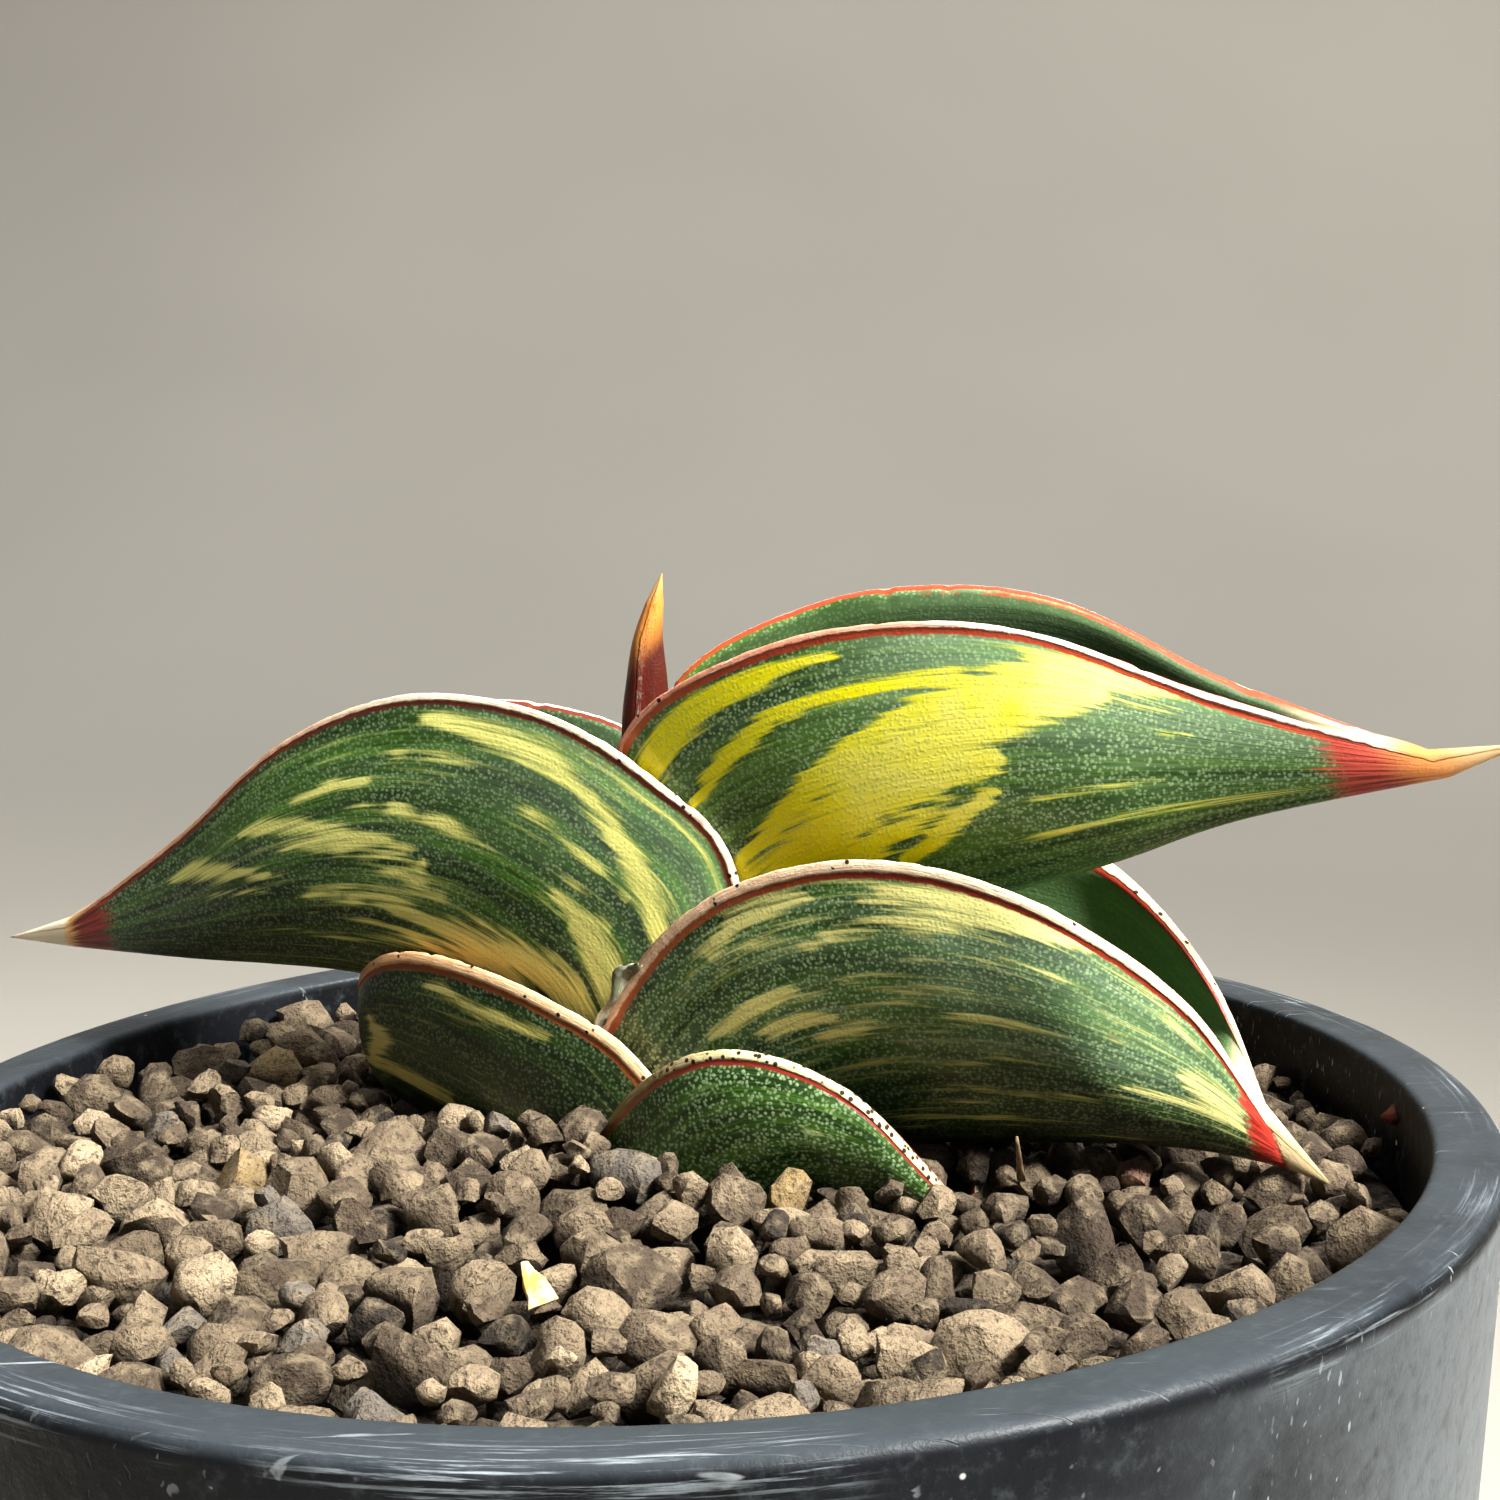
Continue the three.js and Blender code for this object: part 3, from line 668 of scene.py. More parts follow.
# %% Leaf tints
LEAF_TINTS = {
    "leaf_upper_left": {
        "deep": 0x0D1E04, "mid": 0x4B7A20, "pale": 0xE6E07C, "bright": 0xF6F48C, "painted_keel_shade": 0.7,
        "fray": 0.85,
        "yellow_at": (0.38, 0.84), "bright_at": (0.1, 0.7), "haze": 0.36, "stipple": 0.75,
        "painted_sheen_at": (0.1, 0.5, 0.62), "painted_sheen": 0.2, "frost": 0.1, "inner": 0x1C2E12,
        "band_size": (0.55, 0.4), "band_base": 0xFFEACC, "band": 0xD09870, "band_turn": (0.58, 0.8),
        "line_base": 0x7A2C1A, "line": 0x7A2A1A, "line_turn": (0.36, 0.6), "line_width": 0.34,
        "specks": (0.2, 0.5, 0.3), "inner_rust": 0.0, "lid": 1, "line_inside": 0.0,
        "red_at": 0.94, "red": (0x5E140C, 0xA83424), "orange_at": (0.98, 0.998), "orange": 0xFFC070,
        "point_at": (0.996, 1.012), "point": 0xFFECC8,
    },
    "leaf_upper_right": {
        "deep": 0x1A380A, "mid": 0x5E8A2C, "pale": 0xFFF600, "bright": 0xFFFA90, "painted_keel_shade": 0.15,
        "fray": 0.6,
        "yellow_at": (0.26, 0.62), "bright_at": (0.5, 0.85), "haze": 0.16, "stipple": 1.0,
        "painted_sheen_at": (0.62, 0.93, 0.56), "painted_sheen": 0.36, "frost": 0.16, "inner": 0x344A28,
        "band_size": (0.42, 0.3), "band_base": 0xF0A080, "band": 0xFFEEDC, "band_turn": (0.6, 0.78),
        "line_base": 0xB85828, "line": 0xC04A2C, "line_turn": (0.36, 0.5), "line_width": 0.46,
        "specks": (0.2, 0.46, 0.2), "inner_rust": 0.9, "lid": 1, "line_inside": 0.35,
        "red_at": 0.925, "red": (0x8A2018, 0xD85A48), "orange_at": (0.955, 0.985), "orange": 0xF49A50,
        "point_at": (0.99, 1.08), "point": 0xF8CE90,
    },
    "leaf_lower_right": {
        "deep": 0x0F2205, "mid": 0x406A18, "pale": 0xEAE288, "bright": 0xF6F29C, "painted_keel_shade": 1.0,
        "fray": 1.0,
        "yellow_at": (0.38, 0.84), "bright_at": (0.3, 0.9), "haze": 0.26, "stipple": 1.0,
        "painted_sheen_at": (0.6, 0.92, 0.4), "painted_sheen": 0.2, "frost": 0.26, "inner": 0x5A7A46,
        "band_size": (0.85, 0.85), "band_base": 0xF6CCA4, "band": 0xF2D6B2, "band_turn": (0.4, 0.6),
        "line_base": 0xA4552F, "line": 0x96301E, "line_turn": (0.36, 0.6), "line_width": 0.46,
        "specks": (0.1, 0.9, 0.12), "inner_rust": 0.2, "lid": 1, "line_inside": 0.1,
        "red_at": 0.935, "red": (0x8A1E14, 0xCC4232), "orange_at": (1.0, 1.02), "orange": 0xE8CC98,
        "point_at": (1.03, 1.09), "point": 0xDCC48C,
    },
    "leaf_small_left": {
        "deep": 0x0A1803, "mid": 0x24400C, "pale": 0xCCC264, "bright": 0xD2C878, "painted_keel_shade": 0.6,
        "fray": 0.8,
        "yellow_at": (0.42, 0.82), "bright_at": (0.1, 0.7), "haze": 0.1, "stipple": 0.5,
        "painted_sheen_at": (0, 0, 0.5), "painted_sheen": 0.0, "frost": 0.03, "inner": 0x16260F,
        "band_size": (0.95, 0.5), "band_base": 0xF6CC98, "band": 0xF4BA80, "band_turn": (0.4, 0.6),
        "line_base": 0x9C5428, "line": 0x94481F, "line_turn": (0.36, 0.6), "line_width": 0.5,
        "specks": (0.1, 0.7, 0.2), "inner_rust": 0.0, "lid": 1, "line_inside": 0.0,
        "red_at": 0.97, "red": (0x741A12, 0xB03C2A), "orange_at": (0.99, 1.01), "orange": 0xD88C4C,
        "point_at": (1.0, 1.05), "point": 0xE8C490,
    },
    "leaf_small_right": {
        "deep": 0x132A08, "mid": 0x3C6418, "pale": 0x8FA866, "bright": 0xA8BC7C, "painted_keel_shade": 0.5,
        "fray": 1.0,
        "yellow_at": (0.42, 0.82), "bright_at": (0.1, 0.9), "haze": 0.08, "stipple": 1.0,
        "painted_sheen_at": (0.3, 0.9, 0.5), "painted_sheen": 0.0, "frost": 0.04, "inner": 0x16260F,
        "band_size": (0.95, 0.55), "band_base": 0x9C8850, "band": 0xF0E0A4, "band_turn": (0.36, 0.56),
        "line_base": 0xA05A3C, "line": 0x8C2C22, "line_turn": (0.3, 0.5), "line_width": 0.46,
        "specks": (0.36, 0.95, 1.7), "inner_rust": 0.0, "lid": 1, "line_inside": 0.0,
        "red_at": 0.95, "red": (0x741A12, 0xB03C2A), "orange_at": (0.99, 1.01), "orange": 0xD8A870,
        "point_at": (1.0, 1.05), "point": 0xE8D0A0,
    },
    "leaf_spear": {
        "deep": 0x3E0E08, "mid": 0x64180C, "pale": 0xE8C070, "bright": 0xF0D080, "painted_keel_shade": 0.0,
        "fray": 1.0,
        "yellow_at": (0.42, 0.78), "bright_at": (0.1, 0.9), "haze": 0.0, "stipple": 0.0,
        "painted_sheen_at": (0, 0, 0.5), "painted_sheen": 0.0, "frost": 0.0, "inner": 0x4A140C,
        "band_size": (0.6, 0.6), "band_base": 0x64180C, "band": 0x64180C, "band_turn": (0.4, 0.6),
        "line_base": 0x64180C, "line": 0x64180C, "line_turn": (0.3, 0.5), "line_width": 0.3,
        "specks": (0, 0.1, 0), "inner_rust": 0.0, "lid": 0, "line_inside": 0.0, "tilt": 45,
        "red_at": 0.2, "red": (0x4C0F08, 0x84220F), "orange_at": (0.76, 0.93), "orange": 0xEE9840,
        "point_at": (0.96, 1.08), "point": 0xF8C878,
    },
}


def skin_relief(f, tint, lengthwise, along, across, pale):
    """The green skin with its streaks, and the heights that the bumps need."""
    bundle = f.noise(f.stretched(lengthwise, (3, 13, 1)), 1.0, detail=3, roughness=0.5)
    strand = f.noise(f.stretched(lengthwise, (6, 34, 1)), 1.0, detail=3, roughness=0.55)
    hair = f.noise(f.stretched(lengthwise, (10, 95, 1)), 1.0, detail=3, roughness=0.6)
    patches = f.mask(f.noise(f.stretched(lengthwise, (6, 14, 1)), 1.0, detail=4), 0.32, 0.62)
    blotch = f.noise(f.place, 160, detail=2)
    strand_on, hair_on = f.mask(strand, 0.36, 0.64), f.mask(hair, 0.36, 0.64)
    green = f.mix(f.mask(bundle, 0.4, 0.62), srgb(tint["deep"]), srgb(tint["mid"]))
    green = f.mix(f.maths("MULTIPLY", strand_on, 0.4), green, srgb(tint["mid"]))
    green = f.mix(f.maths("MULTIPLY", f.mask(hair, 0.56, 0.36), 0.65), green, srgb(tint["deep"]))
    height = f.maths("ABSOLUTE", across)
    # Painted shade: the green darkens towards the keel, the underside turned from the light.
    keel = f.maths("MULTIPLY", f.mask(height, 0.66, 0.2), tint["painted_keel_shade"])
    # A waxy frost lies in broken stripes. Near the margin a painted sheen, a painted highlight of the
    # same pale colour, is laid over it.
    first, last, low = tint["painted_sheen_at"]
    painted_sheen = f.maths("MULTIPLY", f.mask(along, first - 0.1, first + 0.05),
                    f.mask(along, last + 0.1, last - 0.05))
    painted_sheen = f.maths("MULTIPLY", painted_sheen, f.mask(height, low, low + 0.35))
    frost = f.maths("MULTIPLY", patches, f.maths("MULTIPLY_ADD", strand_on, 0.8, 0.2))
    frost = f.maths("MULTIPLY_ADD", painted_sheen, tint["painted_sheen"], f.maths("MULTIPLY", frost, tint["frost"]))
    green = f.mix(frost, green, srgb(0x9CB896))
    # The painted keel shade.
    green = f.mix(keel, green, srgb(0x101C06))
    # Pale streaks. Strands and hairs fray them, and haze adds faint ones in between.
    level = f.maths("MULTIPLY_ADD", f.mask(bundle, 0.48, 0.7), tint["haze"], pale)
    level = f.maths("MULTIPLY_ADD", f.maths("SUBTRACT", strand_on, 0.5), 0.5 * tint["fray"], level)
    level = f.maths("MULTIPLY_ADD", f.maths("SUBTRACT", hair_on, 0.5), 0.34 * tint["fray"], level)
    olive = f.mix(0.5, srgb(tint["mid"]), srgb(tint["pale"]))
    skin = f.mix(f.maths("MULTIPLY", f.mask(level, 0.16, 0.6), 0.85), green, olive)
    paling = f.maths("MULTIPLY_ADD", f.maths("SUBTRACT", blotch, 0.5), 0.5, along)
    yellow = f.mix(f.mask(paling, *tint["bright_at"]), srgb(tint["pale"]), srgb(tint["bright"]))
    yellow = f.mix(f.maths("MULTIPLY", f.mask(hair, 0.5, 0.36), 0.3), yellow, olive)
    yellowed = f.mask(level, *tint["yellow_at"])
    skin = f.mix(yellowed, skin, yellow)
    # The waxy stipple: small, dense, worm-like dots, fewer on the yellow and near the keel.
    swirl = f.add("TexNoise", {"Vector": f.place, "Scale": 2200.0, "Detail": 1.0}).outputs["Color"]
    wormy = f.add("VectorMath", {0: swirl, 1: (0.00026, 0.00026, 0.00026)}, operation="MULTIPLY")
    wormy = f.add("VectorMath", {0: f.place, 1: wormy.outputs[0]}, operation="ADD").outputs[0]
    dots = f.cells(wormy, 3100, jitter=0.8)
    spot = f.mask(dots.outputs["Distance"], 0.56, 0.2)
    density = f.maths("MULTIPLY_ADD", patches, 0.4, 0.34 * tint["stipple"])
    density = f.maths("MULTIPLY", density, f.maths("MULTIPLY_ADD", yellowed, -0.62, tint["stipple"]))
    density = f.maths("MULTIPLY", density, f.maths("MULTIPLY_ADD", keel, -0.6, 1.0), clamp=True)
    skin = f.mix(f.maths("MULTIPLY", spot, density), skin, srgb(0xA4C08A))
    return skin, (strand, hair, spot), blotch


def horny_band(f, tint, seed, along, edge, inside, ragged):
    """The horny band's colour: ridged lengthwise, worn, and specked black in places."""
    ridges = f.noise(f.stretched(f.vector(along, edge, float(seed)), (34, 7, 1)), 1.0, detail=4,
                     roughness=0.65)
    worn = f.noise(f.place, 380, detail=4, roughness=0.7)
    band = f.mix(f.mask(along, *tint["band_turn"]), srgb(tint["band_base"]), srgb(tint["band"]))
    rusty = f.maths("MULTIPLY", inside, tint["inner_rust"])
    rusty = f.maths("MULTIPLY", rusty, f.mask(along, 0.92, 0.86))
    band = f.mix(rusty, band, srgb(0xB85C30))
    band = f.mix(f.maths("MULTIPLY", f.mask(worn, 0.5, 0.7), 0.35), band, srgb(0xB07858))
    band = f.mix(f.maths("MULTIPLY", f.mask(ridges, 0.48, 0.36), 0.35), band, srgb(0xA06C4C))
    band = f.mix(f.maths("MULTIPLY", f.mask(ridges, 0.52, 0.68), 0.5), band, srgb(0xFFF0DC))
    speck = f.cells(f.place, 1900)
    chosen = f.split(speck.outputs["Color"])[0]
    speck_from, speck_to, amount = tint["specks"]
    black = f.maths("MULTIPLY", f.mask(speck.outputs["Distance"], 0.42, 0.28),
                    f.maths("GREATER_THAN", chosen, 1.0 - 0.55 * amount))
    speckled = f.maths("MULTIPLY", f.mask(along, speck_from, speck_from + 0.04),
                       f.mask(along, speck_to + 0.04, speck_to))
    band = f.mix(f.maths("MULTIPLY", black, speckled), band, srgb(0x1C120C))
    rust = f.mix(f.mask(along, *tint["line_turn"]), srgb(tint["line_base"]), srgb(tint["line"]))
    return f.mix(f.mask(ragged, 0.02, 0.2), rust, band), ridges


def leaf_finish(name, seed):
    tint = LEAF_TINTS[name]
    f = Finish(name + "_finish")
    along, across = f.attribute("along"), f.attribute("across")
    edge, inside, pale = f.attribute("edge"), f.attribute("inside"), f.attribute("pale")
    lengthwise = f.vector(along, across, float(seed))
    skin, (strand, hair, spot), blotch = skin_relief(f, tint, lengthwise, along, across, pale)
    # The inner face of the boat is darker and plainer.
    skin = f.mix(f.maths("MULTIPLY", inside, 0.8), skin, srgb(tint["inner"]))
    # The horny band and the rust line under it.
    rough_edge = f.noise(f.place, 900, detail=4, roughness=0.65)
    ragged = f.maths("MULTIPLY_ADD", f.maths("SUBTRACT", rough_edge, 0.5), 0.4, edge)
    horny, ridges = horny_band(f, tint, seed, along, edge, inside, ragged)
    below = f.maths("MULTIPLY_ADD", inside, tint["line_inside"], ragged)
    on_line = f.mask(below, -tint["line_width"], 0.14 - tint["line_width"])
    skin = f.mix(on_line, skin, horny)
    on_band = f.mask(ragged, 0.02, 0.2)
    # The coloured end of the leaf. The spine counts as the last eighth of the way.
    veins = f.noise(f.stretched(lengthwise, (14, 26, 1)), 1.0, detail=4, roughness=0.6)
    on_spine = f.maths("MAXIMUM", f.maths("SUBTRACT", along, 1.0), 0.0)
    way = f.maths("MULTIPLY_ADD", on_spine, 0.125, f.maths("MINIMUM", along, 1.0))
    way = f.maths("MULTIPLY_ADD", f.maths("SUBTRACT", veins, 0.5), 0.06, way)
    sideways = f.split(f.place)[0]
    way = f.maths("MULTIPLY_ADD", f.maths("SUBTRACT", -0.0005, sideways), tint.get("tilt", 0), way)
    red_at = tint["red_at"]
    lid = f.maths("MULTIPLY", inside, f.mask(along, 0.9, 0.95))
    skin = f.mix(f.maths("MULTIPLY", lid, tint["lid"]), skin, srgb(0xE8C8A0))
    red = f.mix(f.mask(veins, 0.4, 0.6), srgb(tint["red"][0]), srgb(tint["red"][1]))
    free = f.maths("MULTIPLY", f.maths("SUBTRACT", 1.0, f.maths("MULTIPLY", on_band, 0.9)),
                   f.maths("SUBTRACT", 1.0, inside))
    skin = f.mix(f.maths("MULTIPLY", f.mask(way, red_at, red_at + 0.014), free), skin, red)
    skin = f.mix(f.mask(way, *tint["orange_at"]), skin, srgb(tint["orange"]))
    skin = f.mix(f.mask(way, *tint["point_at"]), skin, srgb(tint["point"]))
    skin = f.mix(f.mask(along, 1.93, 2.0), skin, srgb(0x8A6040))
    # Relief and gloss.
    normal = f.bump(hair, 0.035)
    normal = f.bump(strand, 0.05, normal)
    normal = f.bump(spot, 0.01, normal)
    normal = f.bump(f.maths("MULTIPLY", ridges, on_band), 0.09, normal)
    normal = f.bump(f.maths("MULTIPLY", rough_edge, on_band), 0.12, normal)
    roughness = f.maths("MULTIPLY_ADD", blotch, 0.16, 0.3)
    roughness = f.maths("MULTIPLY_ADD", on_band, 0.3, roughness)
    return f.done(skin, roughness, normal, specular=0.36)


SEEDS = {name: 11 + 7 * i for i, name in enumerate(LEAVES)}
leaf_pieces = {}
for name in LEAVES:
    finish = leaf_finish(name, SEEDS[name])
    leaf_pieces[name] = leaf_piece(name, finish, SEEDS[name])

# %% [markdown]
# ## Pot
# A turned shape: half of its section is drawn as a wire, its corners are rounded, and it is spun
# round the axis. That is how a potter or a lathe would make it, and it closes by itself.

# %% Pot shape
POT_HEIGHT = 90
RIM_RADIUS = 60
RIM_BAND = 5
OUTER_SLOPE = 0.075
INNER_SLOPE = 0.062
FLOOR_TOP = 8
FOOT_HEIGHT = 3
FOOT_INNER_RADIUS = 45
SPIN_STEPS = 180
DRAIN_RING = 26
DRAINS = [(0, 0, 4.5)] + [
    (DRAIN_RING * math.cos(turn), DRAIN_RING * math.sin(turn), 3.5)
    for turn in np.radians(np.arange(0, 360, 60))
]
NOTCH_PLACE = (52.5, 0, FOOT_HEIGHT / 4)
NOTCH_SIZE = (19, 10, FOOT_HEIGHT, 1000)


def outer_radius(height):
    return RIM_RADIUS - OUTER_SLOPE * (POT_HEIGHT - height)


def inner_radius(height):
    return RIM_RADIUS - RIM_BAND - INNER_SLOPE * (POT_HEIGHT - height)


def turned(corners):
    """A closed turned shape from [radius, height, corner rounding] in mm, first and last on axis."""
    bm = bmesh.new()
    verts = [bm.verts.new((r * MM, 0, h * MM)) for r, h, _ in corners]
    for a, b in zip(verts, verts[1:]):
        bm.edges.new((a, b))
    for vert, (_, _, rounding) in zip(verts, corners):
        if rounding:
            bmesh.ops.bevel(bm, geom=[vert], offset=rounding * MM, segments=6, profile=0.5,
                            affect="VERTICES", material=-1)
    bmesh.ops.spin(bm, geom=bm.verts[:] + bm.edges[:], cent=(0, 0, 0), axis=(0, 0, 1),
                   angle=2 * math.pi, steps=SPIN_STEPS, use_merge=True)
    bmesh.ops.remove_doubles(bm, verts=bm.verts, dist=1e-6)
    bmesh.ops.recalc_face_normals(bm, faces=bm.faces)
    return bm


def cutter(bm, radius, depth, place):
    bmesh.ops.create_cone(bm, cap_ends=True, segments=40, radius1=radius * MM, radius2=radius * MM,
                          depth=depth * MM, matrix=Matrix.Translation(Vector(place) * MM))


def cut_away(piece, bm):
    """Subtracts a bmesh from a piece for good, with a Boolean modifier that is then applied."""
    mesh = bpy.data.meshes.new("cutter")
    bm.to_mesh(mesh)
    bm.free()
    tool = bpy.data.objects.new("cutter", mesh)
    scene.collection.objects.link(tool)
    cut = piece.modifiers.new("cut", "BOOLEAN")
    cut.operation, cut.object, cut.solver = "DIFFERENCE", tool, "EXACT"
    depsgraph = bpy.context.evaluated_depsgraph_get()
    made = bpy.data.meshes.new_from_object(piece.evaluated_get(depsgraph))
    piece.modifiers.clear()
    piece.data = made
    bpy.data.objects.remove(tool)


# %% [markdown]
# ## Pot finish
# The pot is moulded slate plastic that was handled and watered for years. A plain dark grey would
# look new, so faint clouds, rubbed lines on the rim's shoulder, thin scratches and dust specks lie
# over it. A painted light pales the right side and a painted reflection the rim's flat top. The
# lines and scratches are noises stretched lengthwise.

# %% Pot finish
def pot_finish():
    f = Finish("pot_slate")
    cloud = f.noise(f.place, 45, detail=5, roughness=0.62)
    mottle = f.noise(f.place, 700, detail=4, roughness=0.7)
    base = f.mix(f.mask(cloud, 0.35, 0.7), srgb(0x08090B), srgb(0x16181C))
    # A painted light pales the right side below the rim, and a painted reflection makes the rim's
    # flat top a little paler. The inside gets blacker to the right, a painted shade where no light
    # falls on it.
    sideways, backward, height = f.split(f.place)
    flat = f.add("VectorMath", {0: f.place, 1: (1, 1, 0)}, operation="MULTIPLY").outputs[0]
    reach = f.add("VectorMath", {0: flat}, operation="LENGTH").outputs["Value"]
    outside = f.mask(f.maths("MULTIPLY_ADD", height, -INNER_SLOPE, reach), 0.0498, 0.0504)
    lit_side_reach = f.maths("MULTIPLY_ADD", f.maths("SUBTRACT", cloud, 0.5), 0.02, sideways)
    painted_side_light = f.maths("MULTIPLY", f.mask(lit_side_reach, 0.022, 0.06), f.mask(mottle, 0.0, 0.6))
    painted_side_light = f.maths("MULTIPLY", painted_side_light, outside)
    painted_side_light = f.maths("MULTIPLY", painted_side_light, f.mask(height, 0.0889, 0.088))
    # Painted light on the right side.
    base = f.mix(f.maths("MULTIPLY", painted_side_light, 0.7), base, srgb(0x777D80))
    inner = f.maths("MULTIPLY", f.maths("SUBTRACT", 1.0, outside), f.mask(sideways, -0.03, 0.02))
    base = f.mix(f.maths("MULTIPLY", inner, 0.95), base, srgb(0x020203))
    # Painted reflection: the rim's flat top is paled in places.
    top = f.maths("MULTIPLY", f.mask(height, 0.0891, 0.0899), f.mask(cloud, 0.15, 0.6))
    base = f.mix(f.maths("MULTIPLY", top, 0.2), base, srgb(0x66727A))
    # Long pale scuffs run round the rim's outer shoulder.
    bearing = f.maths("ARCTAN2", backward, sideways)
    round_rim = f.vector(f.maths("MULTIPLY", bearing, 5.0), f.maths("MULTIPLY", reach, 2600.0),
                         f.maths("MULTIPLY", height, 2600.0))
    lines = f.noise(round_rim, 1.0, detail=5, roughness=0.72)
    shoulder = f.maths("MULTIPLY", f.mask(reach, 0.0562, 0.0588), f.mask(height, 0.0868, 0.0892))
    rubbed = f.mask(f.noise(f.place, 38, detail=3, roughness=0.6), 0.4, 0.62)
    rubbed = f.maths("MULTIPLY", f.maths("MULTIPLY", f.mask(lines, 0.52, 0.66), shoulder), rubbed)
    base = f.mix(f.maths("MULTIPLY", rubbed, 0.8), base, srgb(0xA8B2B8))
    base = f.mix(f.maths("MULTIPLY", f.mask(mottle, 0.5, 0.75), 0.3), base, srgb(0x4E5458))
    # Scuffs: thin pale scratches in three directions, only where handling wore the plastic.
    worn = f.mask(f.noise(f.place, 60, detail=4, roughness=0.7), 0.44, 0.68)
    scratches = None
    for turn, stretch, limit in (((0, 0, 0.4), (60, 2600, 700), 0.7),
                                 ((0.5, 0.2, 1.7), (90, 2200, 500), 0.71),
                                 ((1.2, 0.1, 2.6), (70, 3000, 900), 0.72)):
        lines = f.noise(f.stretched(f.place, stretch, turn), 1.0, detail=2, roughness=0.5)
        thin = f.mask(lines, limit - 0.02, limit + 0.03)
        scratches = thin if scratches is None else f.maths("MAXIMUM", scratches, thin)
    scuff = f.maths("MULTIPLY", scratches, worn)
    base = f.mix(f.maths("MULTIPLY", scuff, 0.75), base, srgb(0xB4BABC))
    dust = f.cells(f.place, 420)
    grain = f.split(dust.outputs["Color"])[0]
    speck = f.maths("MULTIPLY", f.mask(dust.outputs["Distance"], 0.11, 0.05),
                    f.maths("GREATER_THAN", grain, 0.94))
    base = f.mix(speck, base, srgb(0xC8C6BC))
    normal = f.bump(mottle, 0.09)
    normal = f.bump(f.maths("SUBTRACT", 1.0, scratches), 0.03, normal)
    roughness = f.maths("MULTIPLY_ADD", f.maths("SUBTRACT", cloud, 0.5), 0.4, 0.4)
    return f.done(base, roughness, normal, specular=0.15)


pot_profile = [
    (0, FOOT_HEIGHT, 0),
    (FOOT_INNER_RADIUS - 1, FOOT_HEIGHT, 0.6),
    (FOOT_INNER_RADIUS, 0, 0.5),
    (outer_radius(0), 0, 0.9),
    (RIM_RADIUS, POT_HEIGHT, 1.2),
    (inner_radius(POT_HEIGHT), POT_HEIGHT, 0.5),
    (inner_radius(FLOOR_TOP), FLOOR_TOP, 3),
    (0, FLOOR_TOP, 0),
]
pot = finished_piece("pot_body", turned(pot_profile), pot_finish(), ("pot",))
holes = bmesh.new()
for x, y, radius in DRAINS:
    cutter(holes, radius, 3 * FLOOR_TOP, (x, y, 0))
cut_away(pot, holes)
notches = bmesh.new()
for i in range(3):
    turn = Matrix.Rotation(math.radians(90 + 120 * i), 4, "Z")
    reach = Matrix.Translation(Vector(NOTCH_PLACE) * MM)
    size = Matrix.Diagonal(Vector(NOTCH_SIZE) * MM)
    bmesh.ops.create_cube(notches, size=1, matrix=turn @ reach @ size)
cut_away(pot, notches)
pot.data.polygons.foreach_set("use_smooth", [True] * len(pot.data.polygons))
pot.data.set_sharp_from_angle(angle=math.radians(35))
print("pot has", len(pot.data.polygons), "faces")

# %% [markdown]
# ## Gravel
# The pot is filled with crushed pumice-like stone of about 2 to 6 mm. The grains are really
# dropped, one after the other: each tries a few places and keeps the one where it comes to rest
# lowest. So small ones find the gaps, and the heap gets its natural crevices. Leaves are obstacles.

# %% Settle the grains
GRAIN_COUNT = 2400
PLACES_TRIED = 7
MISSES_ALLOWED = 200
SINK = 0.94
LAYER_DEPTH = 6.5
# Up to this share of the grains, the smallest and the largest radius.
GRAIN_RADII = ((0.14, 0.9, 1.4), (0.72, 1.5, 2.25), (1.0, 2.25, 3.0))
draw = np.random.default_rng(41)
leaf_trees = []
for piece in leaf_pieces.values():
    shape = bmesh.new()
    shape.from_mesh(piece.data)
    leaf_trees.append(BVHTree.FromBMesh(shape))
    shape.free()


def surface_height(x, y):
    """Where the tops of the grains should lie, in mm: higher at the left and before the leaves."""
    front = 1.3 * math.exp(-((x / 30) ** 2) - ((y + 9) / 15) ** 2)
    heap = 2.3 * math.exp(-(((x + 7) / 8) ** 2) - ((y + 1) / 8) ** 2)
    ripple = 0.5 * noise.noise((x * 0.07, y * 0.07, 3.1))
    return POT_HEIGHT - 2.9 - 0.032 * x + front + heap + ripple


def free_of_leaves(place, radius):
    point = Vector(place) * MM
    for tree in leaf_trees:
        hit, normal, _, away = tree.find_nearest(point)
        if away < 0.72 * radius * MM or (point - hit).dot(normal) < 0:
            return False
    return True


def settle():
    grains = np.empty((GRAIN_COUNT, 4))
    count = 0
    missed = 0
    while count < GRAIN_COUNT and missed < MISSES_ALLOWED:
        kind = draw.random()
        smallest, largest = next((low, high) for share, low, high in GRAIN_RADII if kind < share)
        radius = draw.uniform(smallest, largest)
        reach = (inner_radius(85) - radius - 0.15) * np.sqrt(draw.random(PLACES_TRIED))
        turn = draw.random(PLACES_TRIED) * 2 * math.pi
        x, y = reach * np.cos(turn), reach * np.sin(turn)
        floor = POT_HEIGHT - 3.0 - LAYER_DEPTH + radius
        rest = np.full(PLACES_TRIED, floor)
        if count:
            placed = grains[:count]
            near = (radius + placed[:, 3]) * SINK
            flat = (x[:, None] - placed[:, 0]) ** 2 + (y[:, None] - placed[:, 1]) ** 2
            lift = np.sqrt(np.clip(near**2 - flat, 0, None))
            rest = np.maximum(rest, np.where(flat < near**2, placed[:, 2] + lift, 0).max(1))
        for i in np.argsort(rest):
            top = rest[i] + 0.75 * radius
            if top > surface_height(x[i], y[i]) + 0.35 * radius:
                continue
            if free_of_leaves((x[i], y[i], rest[i]), radius):
                grains[count] = x[i], y[i], rest[i], radius
                count += 1
                missed = 0
                break
        else:
            missed += 1
    return grains[:count]


grains = settle()
print(len(grains), "grains settled")
